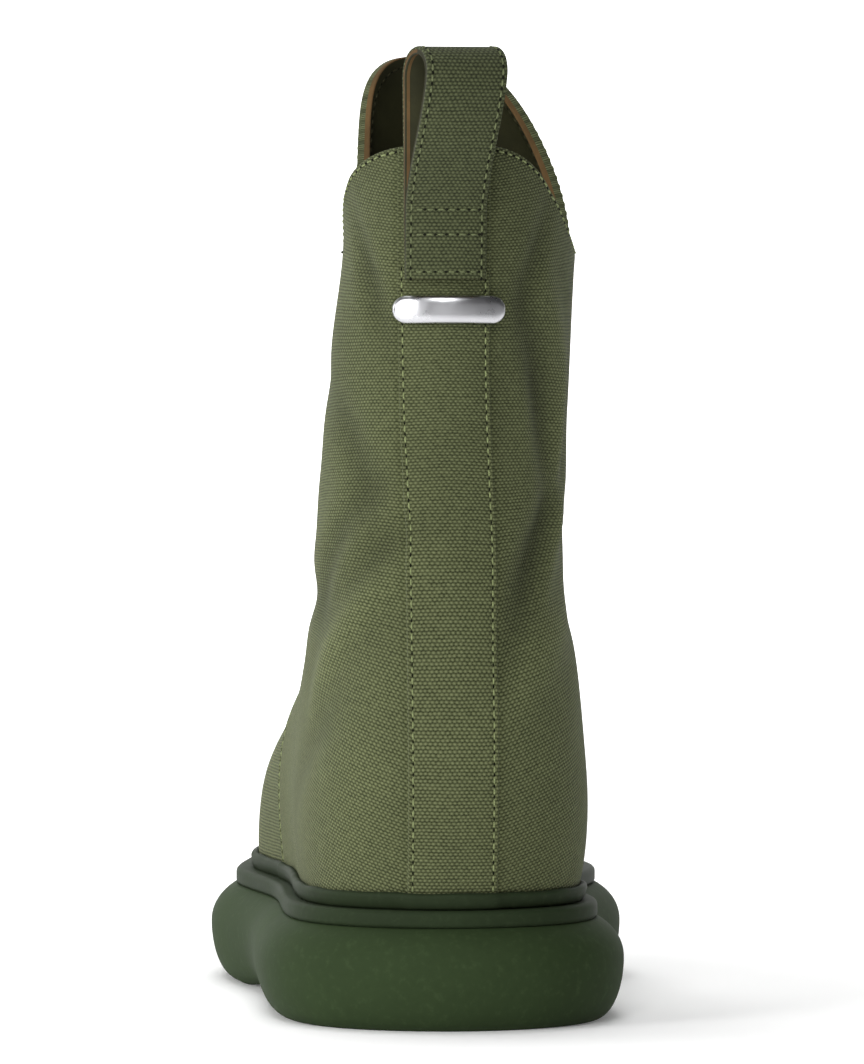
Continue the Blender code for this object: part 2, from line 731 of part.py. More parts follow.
for old in list(bpy.data.objects):
    bpy.data.objects.remove(old)
MATERIALS = {name: make_material(name) for name in COLOURS}
BOOT = bpy.data.objects.new("boot", None)
bpy.context.scene.collection.objects.link(BOOT)
PARTS = [
    make_outsole(),
    make_midsole(),
    make_insole(),
    make_rand(),
    make_upper(),
    make_pull_loop(),
    make_bar(),
]
centre_on_floor(BOOT, PARTS)
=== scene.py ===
"""Looks of the platform mid-calf boot: canvas, leather edges, lining, stitches, rubber, light and camera.

The upper's surface is a function of two numbers. turn goes once round the boot from the heel line, and
level goes up through the table of rings. A ring's plan is a closed smooth curve through its stations, and
each station's size is a smooth curve up the rings. The cloth is that surface moved along its normal by
the overlays' steps, the rolls beside their edges and the creases. Every other piece is a section carried
round the upper's lower edge, up the back or along a line on that surface.
"""

import json
import math

import bpy
import numpy as np
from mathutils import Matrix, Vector

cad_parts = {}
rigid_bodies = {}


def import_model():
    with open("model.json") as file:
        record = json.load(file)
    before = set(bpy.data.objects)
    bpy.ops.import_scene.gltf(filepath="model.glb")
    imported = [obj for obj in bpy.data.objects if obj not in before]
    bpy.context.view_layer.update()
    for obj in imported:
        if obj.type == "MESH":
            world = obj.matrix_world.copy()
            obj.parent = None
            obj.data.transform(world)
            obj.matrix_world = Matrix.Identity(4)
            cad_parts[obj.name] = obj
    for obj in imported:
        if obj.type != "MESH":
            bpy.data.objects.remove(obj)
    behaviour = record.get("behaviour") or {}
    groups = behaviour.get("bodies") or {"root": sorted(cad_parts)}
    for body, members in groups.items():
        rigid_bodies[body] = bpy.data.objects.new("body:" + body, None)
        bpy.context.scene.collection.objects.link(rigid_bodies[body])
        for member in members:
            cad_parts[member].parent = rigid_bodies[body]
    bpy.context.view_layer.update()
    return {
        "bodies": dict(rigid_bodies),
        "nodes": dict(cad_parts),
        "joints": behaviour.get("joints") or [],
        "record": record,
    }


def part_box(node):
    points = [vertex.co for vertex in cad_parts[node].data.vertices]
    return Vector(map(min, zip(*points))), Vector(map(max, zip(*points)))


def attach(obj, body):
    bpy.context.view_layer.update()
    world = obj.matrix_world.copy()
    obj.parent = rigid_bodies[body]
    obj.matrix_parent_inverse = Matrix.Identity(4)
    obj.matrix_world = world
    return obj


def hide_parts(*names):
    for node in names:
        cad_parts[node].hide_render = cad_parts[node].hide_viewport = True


MM = 0.001

# Last and shaft, with the CAD part's values
UPPER_LENGTH = 266 * MM
BALL_WIDTH = 98 * MM
INSTEP_RISE = 80 * MM
SHAFT_DEPTH = 112 * MM
SHAFT_WIDTH = 66 * MM
BACK_RISE = 216 * MM
FRONT_RISE = 246 * MM
NOTCH_RISE = 188 * MM
SWING = 3.4 * MM
LEAN = 2.0 * MM
TWIST = 12.0 * MM
WALL = 2.8 * MM
QUARTER_STEP = 1.0 * MM
STRIP_STEP = 1.1 * MM
STRIP_WIDTH = 24.4 * MM
STEP_RUN = 0.5 * MM

# Sole. Sizes that the CAD part has too are its own. The grooves' places are shares of the upper's length.
OUTSOLE_HEIGHT = 29 * MM
OUTSOLE_BELLY = 17.5 * MM
OUTSOLE_TUCK = 8.0 * MM
MIDSOLE_THICK = 4.7 * MM
RAND_HEIGHT = 4.5 * MM
RAND_THICK = 2.2 * MM
LEDGE_OVER = 4.6 * MM
BELLY_OVER = 7.7 * MM
CLEARANCE = 0.3 * MM
TOE_SPRING = 5.0 * MM
ARCH_RISE = 3.0 * MM
GROOVE_WIDTH = 3.0 * MM
GROOVE_DEPTH = 2.0 * MM
GROOVE_SPAN = 74 * MM
GROOVE_END_RUN = 0.4 * MM
HEEL_GROOVES = 4
FOREFOOT_GROOVES = 6
HEEL_GROOVE_SHARES = (0.06, 0.25)
FOREFOOT_GROOVE_SHARES = (0.60, 0.86)
GROOVED_MIDDLE = 0.45
GROOVED_HALF = 0.42
GROOVE_WALLS = (-0.5, -0.42, 0.42, 0.5)
GROOVE_FLOOR_SHARE = 0.45
ARCH_HALF_SHARE = 0.13
SHOULDER_SHARE = 1.125
SHOULDER_TUCK = 0.4 * MM
FLAT_INSETS = (1.2 * MM, 4 * MM, 12 * MM)
FLAT_SUNK = 0.02 * MM
LEDGE_EDGE = 1.5 * MM
LEDGE_SUNK = 0.5 * MM
RAND_ROUND = 1.5 * MM
RAND_STEP_RUN = 2.2 * MM
RAND_WANDER = 0.16 * MM
RAND_WAVES = ((23, 0.0), (37, 1.3))

# Pull loop and bar
STRAP_WIDTH = 22.6 * MM
STRAP_THICK = 2.2 * MM
LOOP_FOOT_RISE = 178 * MM
LOOP_SEWN_HEIGHT = 20 * MM
LOOP_FREE_HEIGHT = 45 * MM
LOOP_GAP = 13 * MM
LOOP_SHIFT = -2.6 * MM
LOOP_TWIST = 3.4 * MM
BAR_WIDTH = 32 * MM
BAR_HEIGHT = 8 * MM
BAR_THICK = 2.4 * MM
BAR_DROP = 8.6 * MM
BAR_FACE_POWERS = (0.55, 0.45)
BAR_END_FULLNESS = 2.2
BAR_GAP = 0.2 * MM

MIDSOLE_BOTTOM = OUTSOLE_HEIGHT + CLEARANCE
MIDSOLE_TOP = MIDSOLE_BOTTOM + MIDSOLE_THICK
FEATHER = MIDSOLE_TOP + CLEARANCE
RAND_OUT = CLEARANCE + RAND_THICK
LEDGE_OUT = RAND_OUT + LEDGE_OVER
BELLY_OUT = LEDGE_OUT + BELLY_OVER

# Rings of the upper, with the CAD part's values
RING_COLUMNS = (
    "leg", "back_y", "back_z", "front_y", "front_z",
    "heel", "waist", "ball", "toe", "corner", "swing", "lean", "twist", "seam", "strip",
)
RINGS = (
    (0.00, 0.000, 0.00, 1.000, 0.00, 0.388, 0.378, 0.495, 0.380, 0.72, 1.0, 0.0, 0.00, 0.49, -0.25),
    (0.00, -0.011, 0.15, 1.009, 0.16, 0.408, 0.393, 0.500, 0.388, 0.71, 1.0, 0.2, 0.00, 0.50, -0.25),
    (0.00, -0.019, 0.35, 0.995, 0.38, 0.413, 0.400, 0.482, 0.360, 0.69, 1.0, 0.4, 0.00, 0.52, -0.25),
    (0.00, -0.019, 0.575, 0.935, 0.56, 0.398, 0.392, 0.418, 0.295, 0.68, 0.9, 0.5, 0.02, 0.56, -0.25),
    (0.15, -0.010, 0.66, 0.890, 0.52, 0.397, 0.393, 0.368, 0.250, 0.66, 0.7, 0.4, 0.06, 0.61, -0.25),
    (0.35, 0.005, 0.675, 0.868, 0.465, 0.397, 0.396, 0.357, 0.238, 0.63, 0.5, 0.0, 0.12, 0.65, -0.25),
    (0.60, 0.023, 0.655, 0.904, 0.440, 0.416, 0.429, 0.380, 0.250, 0.60, 0.3, -0.5, 0.20, 0.67, -0.30),
    (0.85, 0.037, 0.645, 1.010, 0.457, 0.439, 0.476, 0.424, 0.290, 0.57, 0.1, -0.5, 0.35, 0.66, -0.70),
    (1.00, 0.036, 0.685, 1.107, 0.533, 0.454, 0.508, 0.456, 0.330, 0.55, 0.0, -0.4, 0.60, 0.61, -1.10),
    (1.00, 0.018, 0.790, 1.040, 0.675, 0.440, 0.500, 0.466, 0.350, 0.55, 0.0, -0.1, 0.85, 0.54, -1.25),
    (1.00, 0.000, 0.898, 0.991, 0.837, 0.408, 0.493, 0.462, 0.322, 0.55, 0.0, 0.0, 1.00, 0.46, -1.30),
    (1.00, -0.018, 1.030, 0.930, 1.045, 0.418, 0.495, 0.440, 0.305, 0.50, 0.0, -0.6, -0.15, 0.43, -1.30),
)
STATIONS = {
    "back": (0.0, 0.0, 0.0),
    "back_corner": (0.050, 0.045, 0.0),
    "heel": (0.115, 0.18, 0.0),
    "waist": (0.228, 0.45, -0.35),
    "ball": (0.323, 0.68, 0.95),
    "toe": (0.411, 0.88, 1.0),
    "front_corner": (0.4535, 0.965, 1.0),
    "front": (0.5, 1.0, 1.0),
}
NOTCH_AT = 0.48
BACK_HUMP_POWER = 1.09
BACK_HUMP_SIDE = 0.65
FRONT_HUMP_POWER = 1.14
FRONT_HUMP_SIDE = 0.10

# Creases in the cloth: soft troughs with raised sides, in mm. around is measured from the heel line and up
# from the lower edge, both along the cloth, reach and half are the crease's half length and half width,
# slope is its angle in degrees, and depth is how deep it is, below 0 for a ridge. Each line bows by
# CREASE_BOW, its sides rise by CREASE_SIDES, and all fade out in CREASE_FREE_RISE above the rand.
CREASE_COLUMNS = ("around", "up", "reach", "half", "slope", "depth")
CREASES = (
    (30, 150, 26, 6.5, -78, 2.2),
    (42, 136, 26, 5.5, 86, -1.2),
    (40, 166, 20, 7.0, -74, -1.0),
    (28, 100, 24, 7.5, 60, 2.4),
    (42, 112, 24, 6.0, 58, -1.7),
    (34, 76, 24, 9.0, 40, -1.1),
    (-24, 96, 24, 8.0, 36, 1.5),
    (-42, 102, 26, 8.0, 44, 1.5),
    (-40, 78, 30, 8.0, 42, -1.8),
    (-30, 132, 24, 8.0, -66, 1.3),
    (-50, 150, 24, 9.0, -40, 0.9),
    (-62, 46, 26, 10.0, 30, 1.0),
    (26, 190, 18, 5.5, 70, 1.5),
    (-27, 186, 20, 5.5, -64, 1.5),
    (84, 96, 34, 12.0, 10, 1.9),
    (-84, 96, 34, 12.0, -10, 1.9),
    (96, 118, 30, 12.0, 8, 1.5),
    (-96, 118, 30, 12.0, -8, 1.5),
)
CREASE_BOW = 0.25
CREASE_SIDES = 1.1
CREASE_FREE_RISE = 18 * MM

# Cloth and thread. GRAIN_RISES says how steeply the quarter's rows of weave rise towards the front, at
# distances in mm up the cloth.
ROW_PITCH = 0.99 * MM
FLOAT_PITCH = 1.3 * MM
GRAIN_RISES = ((0, 70, 100, 130, 165, 215), (0.33, 0.30, 0.22, 0.13, 0.07, 0.05))
STITCH_PITCH = 3.1 * MM
STITCH_LENGTH = 1.9 * MM
THREAD_RADIUS = 0.26 * MM
HOLE_RADIUS = 0.42 * MM
THREAD_RINGS = 9
THREAD_SIDES = 6
THREAD_ARCH = 0.34 * MM
THREAD_SUNK = 0.75
HOLE_SIDES = 10
STITCH_INSET = 1.4 * MM
LINING_INSET = 3.0 * MM
COLLAR_INSET = 1.3 * MM
CANVAS_EDGE = 2.2 * MM
RIM_PADDING = 1.1 * MM
RIM_PADDING_REACH = 5.0 * MM
RIM_ROUND = 0.45 * MM
LOOP_ROWS = (2.0 * MM, 12.5 * MM, 19.5 * MM)
LINING_SHORT = 1.5 * MM
COLLAR_SEAM_DEPTH = 0.18 * MM
COLLAR_SEAM_WIDTH = 0.4 * MM
SEAM_WIDTH = 0.45 * MM
ROLL_INSET = 0.6 * MM
ROLL_WIDTH = 0.5 * MM
STRAP_SEAM_DEPTH = 0.16 * MM
STRAP_ROLL_RISE = 0.10 * MM

# Waves beside an overlay's edge, as place inside it, height and width: roll, sewn line, groove outside it
EDGE_WAVES = (
    (ROLL_INSET, 0.20 * MM, ROLL_WIDTH),
    (STITCH_INSET, -0.22 * MM, SEAM_WIDTH),
    (-0.7 * MM, -0.38 * MM, 0.5 * MM),
)

# Weights of what makes the weave's height, and then its tone
WEAVE_BUMPS = 0.36
WEAVE_ROWS = 0.5
WEAVE_BASE = 0.12
WEAVE_FIBRE = 0.5
WEAVE_GRAIN = 0.38
WEAVE_THREAD = 0.25
WEAVE_POWER = 0.8

# Mesh density: rows and columns, and distances in mm of columns from an overlay's edge and of rows from
# the collar, where the mesh is finer
UPPER_ROWS = 120
LINING_ROWS = 70
STRIP_COLUMNS = 8
SIDE_COLUMNS = 52
FRONT_COLUMNS = 96
SOLE_COLUMNS = 360
TUBE_ROWS = (22, 16)
PANEL_ROWS = 90
STRAP_COLUMNS = 25
BAR_COLUMNS = 61
BAR_ROWS = 25
EDGE_COLUMNS = (-2.4, -1.5, -0.9, -0.45, -0.2, 0.0, 0.2, 0.45, 0.8, 1.15, 1.4, 1.65, 2.0, 2.8)
COLLAR_ROWS = (7.0, 5.5, 4.2, 3.2, 2.4, 1.9, 1.55, 1.3, 1.05, 0.75)
COLLAR_BAND = 8.5 * MM

# Section of the rim: inset and drop in shares of its rounding, and 0 for the outside or 1 for the inside
RIM_SECTION = (
    (0.00, 1.00, 0.0),
    (0.12, 0.30, 0.0),
    (1.0, 0.0, 0.0),
    (CANVAS_EDGE / RIM_ROUND, 0.0, 0.0),
    (1.0, 0.0, 1.0),
    (0.12, 0.30, 1.0),
    (0.00, 1.00, 1.0),
)

# Places of the materials of the cloth and the strap, and what the strap's edge is from face to back
CANVAS_PLACE = 0
TAN_PLACE = 1
LINING_PLACE = 2
STRAP_EDGE_KINDS = [CANVAS_PLACE] * 4 + [TAN_PLACE] * 2 + [LINING_PLACE] * 2

# Numerical work: a small step of turn or level, rounds of refinement, and where reading a table stops
SMALL_STEP = 1e-3
ROUNDS = 6
TABLE_STOP = 1.001

# Painted shade: the cloth paler low down and darker towards the top, by height in metres, set to match the
# photo's shading, which the lights here don't give
PAINTED_SHADE_HEIGHTS = (0.08, 0.27)
PAINTED_SHADE_TONES = (1.14, 0.84)

# Painted shade in the troughs and painted highlight on the ridges, from depth to height in mm, also set to
# match the photo's shading
FOLD_SHADE_DEPTHS = (-2.6, 2.0)
FOLD_SHADE_TONES = (0.5, 1.38)

# Camera, as it stood to this boot in the photo
CAMERA_AT = (-162.9 * MM, -2036.5 * MM, 178 * MM)
CAMERA_TARGET = (-4.0 * MM, -60.0 * MM, 139.5 * MM)
CAMERA_LENS = 229.0
SENSOR = 36.0

# Light: name, place, diameter of its disk in metres, and power in watts
SURROUND = 0.04
BACKDROP_GLOW = 1.1
BACKDROP_REACH = (0.4, 2.6)
FLOOR_GLOW = (0.12, 0.38)
FLOOR_REACH = (0.12, 0.30)
FLOOR_WHITE = (0.93, 0.93, 0.93, 1.0)
STAGE_HALF_WIDTH = 6.0
STAGE_FRONT = 4.0
STAGE_DEPTH = 3.0
STAGE_HEIGHT = 4.0
STAGE_BEND = 1.0
LIGHTS_AIM = (0.0, 0.0, 0.14)
LIGHTS = (
    ("key_light", (-1.9, -1.3, 0.6), 1.0, 28.0),
    ("side_light", (-2.2, 0.9, 0.7), 1.0, 13.0),
    ("top_light", (-0.2, 0.5, 2.2), 1.8, 32.0),
    ("back_light", (-0.3, -1.9, 1.3), 1.0, 18.0),
)


def blend(first, second, share):
    return first + (second - first) * share


def ease(value):
    """Smooth step from 0 to 1."""
    value = np.clip(value, 0, 1)
    return value * value * (3 - 2 * value)


def bell(value):
    return np.exp(-value * value)


def run_of(points):
    """Distance along a line of points, from its first one to each."""
    return np.concatenate([[0], np.cumsum(np.linalg.norm(np.diff(points, axis=0), axis=1))])


def read_between(table, row, column):
    """A table's value between its rows and columns, at places counted in them."""
    row = np.clip(row, 0, table.shape[0] - TABLE_STOP)
    column = np.clip(column, 0, table.shape[1] - TABLE_STOP)
    r, c = row.astype(int), column.astype(int)
    low = blend(table[r, c], table[r, c + 1], column - c)
    high = blend(table[r + 1, c], table[r + 1, c + 1], column - c)
    return blend(low, high, row - r)


def spline_weights(knots, at, period=None):
    """Matrix that turns values at the knots into a smooth cubic curve's values at the given places.

    A natural curve by default, or a closed one where period gives the length of one turn.
    """
    knots = np.asarray(knots, float)
    at = np.asarray(at, float)
    count = len(knots)
    ends = np.append(knots, knots[0] + period) if period else knots
    gaps = np.diff(ends)
    bend = np.zeros((count, count))
    pull = np.zeros((count, count))
    for i in range(count):
        if not period and i in (0, count - 1):
            bend[i, i] = 1.0
            continue
        before, after = gaps[i - 1], gaps[i]
        left, right = (i - 1) % count, (i + 1) % count
        bend[i, left] += before
        bend[i, i] += 2 * (before + after)
        bend[i, right] += after
        pull[i, left] += 6 / before
        pull[i, i] -= 6 / before + 6 / after
        pull[i, right] += 6 / after
    curvature = np.linalg.solve(bend, pull)
    place = (at - knots[0]) % period + knots[0] if period else np.clip(at, knots[0], knots[-1])
    low = np.clip(np.searchsorted(ends, place, side="right") - 1, 0, len(gaps) - 1)
    high = (low + 1) % count
    width = gaps[low]
    b = (place - ends[low]) / width
    a = 1 - b
    weights = np.zeros((len(place), count))
    rows = np.arange(len(place))
    weights[rows, low] += a
    weights[rows, high] += b
    sag_low = ((a**3 - a) * width**2 / 6)[:, None]
    sag_high = ((b**3 - b) * width**2 / 6)[:, None]
    return weights + sag_low * curvature[low] + sag_high * curvature[high]


def ring_sizes():
    """The ring table in metres, as one array for each column."""
    share = {name: np.array([row[i] for row in RINGS]) for i, name in enumerate(RING_COLUMNS)}
    leg = share["leg"]
    length = blend(UPPER_LENGTH, SHAFT_DEPTH, leg)
    width = blend(BALL_WIDTH, SHAFT_WIDTH, leg)
    sizes = {
        "back_y": share["back_y"] * length,
        "front_y": share["front_y"] * length,
        "back_z": FEATHER + share["back_z"] * blend(INSTEP_RISE, BACK_RISE, leg),
        "front_z": FEATHER + share["front_z"] * blend(INSTEP_RISE, FRONT_RISE, leg),
        "swing": share["swing"] * SWING,
        "lean": share["lean"] * LEAN,
        "twist": share["twist"] * TWIST,
        "seam": share["seam"],
        "strip": share["strip"] * LEAN,
    }
    for name in ("heel", "waist", "ball", "toe"):
        sizes[name] = share[name] * width
    sizes["back_corner"] = share["corner"] * sizes["heel"]
    sizes["front_corner"] = share["corner"] * sizes["toe"]
    return sizes


SIZES = ring_sizes()
RING_PLACES = np.arange(len(RINGS), dtype=float)
TOP_RING = RING_PLACES[-1]


def station_table():
    """Round-the-ring knots, with each station's share of length, its swing, width column and side."""
    inner = [name for name in STATIONS if name not in ("back", "front")]
    medial = [(*STATIONS[n], n, 1.0) for n in inner]
    lateral = [(1 - STATIONS[n][0], *STATIONS[n][1:], n, -1.0) for n in reversed(inner)]
    return [(*STATIONS["back"], None, 0.0), *medial, (*STATIONS["front"], None, 0.0), *lateral]


STATION_ROWS = station_table()
TURNS = [row[0] for row in STATION_ROWS]
ALONG = np.array([row[1] for row in STATION_ROWS])
SWINGS = np.array([row[2] for row in STATION_ROWS])


def size_at(name, level):
    return spline_weights(RING_PLACES, np.atleast_1d(level)) @ SIZES[name]


def along_at(turn):
    return spline_weights(TURNS, np.ravel(turn), period=1.0) @ ALONG


def last_point(turn, level):
    """Points of the plain outer surface, in the table's own axes, for arrays of turn and level."""
    turn, level = np.broadcast_arrays(np.asarray(turn, float), np.asarray(level, float))
    shape = turn.shape
    turn, level = turn.ravel(), level.ravel()
    round_weights = spline_weights(TURNS, turn, period=1.0)
    ring_weights = spline_weights(RING_PLACES, level)
    side_values = np.zeros((len(turn), len(STATION_ROWS)))
    for i, (_, _, _, name, side) in enumerate(STATION_ROWS):
        if name:
            side_values[:, i] = side * (ring_weights @ SIZES[name])
    along = round_weights @ ALONG
    swing = round_weights @ SWINGS
    x = (round_weights * side_values).sum(axis=1)
    x += ring_weights @ SIZES["lean"] + swing * (ring_weights @ SIZES["swing"])
    x += along * (ring_weights @ SIZES["twist"])
    y = blend(ring_weights @ SIZES["back_y"], ring_weights @ SIZES["front_y"], along)
    z = blend(ring_weights @ SIZES["back_z"], ring_weights @ SIZES["front_z"], along)
    return np.stack([x, y, z], axis=-1).reshape(*shape, 3)


def unit(vectors):
    return vectors / np.linalg.norm(vectors, axis=-1, keepdims=True)


def last_normal(turn, level):
    """Outward unit normals of the plain outer surface, from small steps along it."""
    step = SMALL_STEP
    level = np.clip(level, step, TOP_RING - step)
    around = last_point(turn + step, level) - last_point(turn - step, level)
    up = last_point(turn, level + step) - last_point(turn, level - step)
    return unit(np.cross(around, up))


def toe_lift(y):
    start = STATIONS["ball"][1] * UPPER_LENGTH
    run = np.clip((y - start) / (UPPER_LENGTH - start), 0, None)
    return TOE_SPRING * run**2


def arch_lift(y):
    middle = STATIONS["waist"][1] * UPPER_LENGTH
    return ARCH_RISE * ease(1 - np.abs(y - middle) / (ARCH_HALF_SHARE * UPPER_LENGTH))


# Tables read by interpolation: the overlays' edges up the boot, and distances round it and up it
EDGE_LEVELS = np.linspace(0, TOP_RING, 67)
ARC_TURNS = np.linspace(0, 1, 361)


def edge_table():
    """For each edge level, the turns of the strip's two edges and of the quarter's front edge."""
    near = np.linspace(-0.1, 0.1, 161)
    half = np.linspace(0, 0.5, 251)
    half_along = along_at(half)
    rows = []
    for level in EDGE_LEVELS:
        xs = last_point(near, level)[:, 0]
        centre = size_at("strip", level)[0]
        edges = np.interp([centre - STRIP_WIDTH / 2, centre + STRIP_WIDTH / 2], xs, near)
        seam = np.interp(size_at("seam", level)[0], half_along, half)
        rows.append((*edges, seam))
    return np.array(rows)


def arc_table():
    """Distance round the ring from the heel line, for each edge level and each turn."""
    turns, levels = np.meshgrid(ARC_TURNS, EDGE_LEVELS)
    points = last_point(turns, levels)
    steps = np.linalg.norm(np.diff(points, axis=1), axis=-1)
    return np.concatenate([np.zeros((len(EDGE_LEVELS), 1)), np.cumsum(steps, axis=1)], axis=1)


def rise_table(along_turn):
    """Distance up the cloth from the lower edge for each edge level, measured at one turn."""
    return run_of(last_point(np.full_like(EDGE_LEVELS, along_turn), EDGE_LEVELS))


def rises_table():
    """Distance up the cloth from the lower edge, for each edge level and each turn."""
    turns, levels = np.meshgrid(ARC_TURNS, EDGE_LEVELS)
    steps = np.linalg.norm(np.diff(last_point(turns, levels), axis=0), axis=-1)
    return np.concatenate([np.zeros((1, len(ARC_TURNS))), np.cumsum(steps, axis=0)])


EDGES = edge_table()
ARCS = arc_table()
QUARTER_RISE = rise_table(0.16)
RISES = rises_table()


def read_table(table, turn, level):
    """A table over edge levels and turns, read by interpolation."""
    return read_between(table, level / TOP_RING * (len(EDGE_LEVELS) - 1), turn * (len(ARC_TURNS) - 1))


def read_arc(turn, level):
    """Distance round the ring from the heel line to a turn from 0 to 1."""
    return read_table(ARCS, turn, level)


def arc_from_back(turn, level):
    """Signed distance round the cloth from the heel line: medial above 0, lateral below."""
    turn = turn % 1.0
    whole = read_arc(np.ones_like(turn), level)
    arc = read_arc(turn, level)
    return np.where(turn > 0.5, arc - whole, arc)


def edge_turn(which, level):
    """Turn of an edge: strip_lateral, strip_medial, seam_medial or seam_lateral."""
    column = {"strip_lateral": 0, "strip_medial": 1, "seam_medial": 2, "seam_lateral": 2}[which]
    value = np.interp(level, EDGE_LEVELS, EDGES[:, column])
    return 1 - value if which == "seam_lateral" else value


def edge_arc(which, level):
    """Signed distance of an edge from the heel line."""
    return arc_from_back(edge_turn(which, level) % 1.0, level)


def turn_of_arc(arc, level):
    """The turn at a signed distance from the heel line, for arrays of one shape."""
    arc, level = np.broadcast_arrays(arc, level)
    guess = arc / read_arc(np.ones(arc.shape), level)
    step = 2 * SMALL_STEP
    for _ in range(ROUNDS):
        here = arc_signed(guess, level)
        rate = (arc_signed(guess + step, level) - arc_signed(guess - step, level)) / (2 * step)
        guess = guess + (arc - here) / rate
    return guess


def arc_signed(turn, level):
    """As arc_from_back, for turns that run from below 0 to above 0 through the heel line."""
    whole = read_arc(np.ones_like(turn), level)
    return np.where(turn < 0, read_arc(turn + 1, level) - whole, read_arc(np.clip(turn, 0, 1), level))


def crease_field(around, up):
    """Sum of the creases: each a trough across its line with raised sides, fading along its length."""
    total = np.zeros(np.shape(around))
    for row in CREASES:
        place = dict(zip(CREASE_COLUMNS, row))
        tilt = math.radians(place["slope"])
        dx = around - place["around"] * MM
        dy = up - place["up"] * MM
        along = (dx * math.cos(tilt) + dy * math.sin(tilt)) / (place["reach"] * MM)
        across = (-dx * math.sin(tilt) + dy * math.cos(tilt)) / (place["half"] * MM)
        across = across + CREASE_BOW * along * along
        total -= place["depth"] * MM * (1 - CREASE_SIDES * across**2) * bell(across) * bell(along)
    return total


def overlay_field(turn, level, run=STEP_RUN, rolls=True):
    """How far the outside stands proud: the overlays' steps, and the waves beside their edges."""
    arc = arc_from_back(turn % 1.0, level)
    inside_quarter = np.minimum(
        edge_arc("seam_medial", level) - arc,
        arc - edge_arc("seam_lateral", level),
    )
    inside_strip = np.minimum(
        edge_arc("strip_medial", level) - arc,
        arc - edge_arc("strip_lateral", level),
    )
    total = np.zeros(np.shape(arc))
    for inside, step in ((inside_quarter, QUARTER_STEP), (inside_strip, STRIP_STEP)):
        total += step * ease(inside / run / 2 + 0.5)
        if rolls:
            for place, height, width in EDGE_WAVES:
                total += height * bell((inside - place) / width)
    return total


def lifted(points):
    points = np.array(points, float)
    points[..., 2] += toe_lift(points[..., 1])
    return points


def folds(turn, level):
    """How far the creases push the cloth out, fading to nothing at the rand."""
    around = arc_from_back(turn % 1.0, level)
    up = np.interp(level, EDGE_LEVELS, QUARTER_RISE)
    return crease_field(around, up) * ease(up / CREASE_FREE_RISE)


def cloth(turn, level, lift=0.0, inner=False):
    """Points of the finished cloth's outside, or of its lining, moved out by lift."""
    turn = np.asarray(turn, float)
    level = np.broadcast_to(level, turn.shape)
    offset = folds(turn, level)
    offset = offset + (-WALL if inner else overlay_field(turn, level)) + lift
    normal = last_normal(turn, level)
    points = last_point(turn, level) + normal * np.asarray(offset)[..., None]
    return PLACE + lifted(points)


def outline(offset, turns):
    """The upper's lower edge in plan, moved outwards by offset."""
    level = np.zeros_like(turns)
    points = last_point(turns, level)[:, :2]
    ahead = last_point(turns + SMALL_STEP, level)[:, :2]
    behind = last_point(turns - SMALL_STEP, level)[:, :2]
    along = unit(ahead - behind)
    return points + np.asarray(offset)[..., None] * np.stack([along[:, 1], -along[:, 0]], axis=1)


def find_place():
    """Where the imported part's origin puts the table's zero, from the outsole's own box."""
    low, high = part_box("outsole")
    plan = outline(BELLY_OUT, np.linspace(0, 1, 721))
    middle = (plan.min(axis=0) + plan.max(axis=0)) / 2
    return np.array([(low.x + high.x) / 2 - middle[0], (low.y + high.y) / 2 - middle[1], 0.0])


def collar_height(turn):
    """Height of the collar's edge: two raised-cosine humps, shaped by side, with a notch between."""
    along = along_at(turn)
    side = np.sin(2 * math.pi * turn)
    back = np.clip(along / NOTCH_AT, 0, 1)
    front = np.clip((1 - along) / (1 - NOTCH_AT), 0, 1)
    back_hump = (0.5 + 0.5 * np.cos(math.pi * back)) ** (BACK_HUMP_POWER + BACK_HUMP_SIDE * side)
    front_hump = (0.5 + 0.5 * np.cos(math.pi * front)) ** (FRONT_HUMP_POWER + FRONT_HUMP_SIDE * side)
    rise = NOTCH_RISE + (BACK_RISE - NOTCH_RISE) * back_hump + (FRONT_RISE - NOTCH_RISE) * front_hump
    return FEATHER + rise


def level_at_height(turn, height):
    """The level at which the plain surface reaches a height, at each turn."""
    levels = np.linspace(0, TOP_RING, 221)
    back, front = size_at("back_z", levels), size_at("front_z", levels)
    heights = blend(back[:, None], front[:, None], along_at(turn)[None, :])
    return np.array([np.interp(h, column, levels) for h, column in zip(height, heights.T)])


def collar_level(turn):
    return level_at_height(turn, collar_height(turn))


def up_rate(turn, level):
    """Metres up the cloth for one level, at each turn."""
    step = 0.02
    rise = last_point(turn, level) - last_point(turn, level - step)
    return np.linalg.norm(rise, axis=-1) / step


def quads_of(rows, columns, closed):
    """Corner indices of the faces of a grid of points, in rows and columns."""
    across = columns if closed else columns - 1
    r, c = np.meshgrid(np.arange(rows - 1), np.arange(across), indexing="ij")
    r, c = r.ravel(), c.ravel()
    right = (c + 1) % columns
    here, above = r * columns, (r + 1) * columns
    return np.stack([here + c, here + right, above + right, above + c], 1)


def corners_of(count, columns):
    """Each face's row and column in such a grid, and the rows and columns of its four corners."""
    row, column = np.divmod(np.arange(count), columns)
    return row, column, row[:, None] + np.array([0, 0, 1, 1]), column[:, None] + np.array([0, 1, 1, 0])


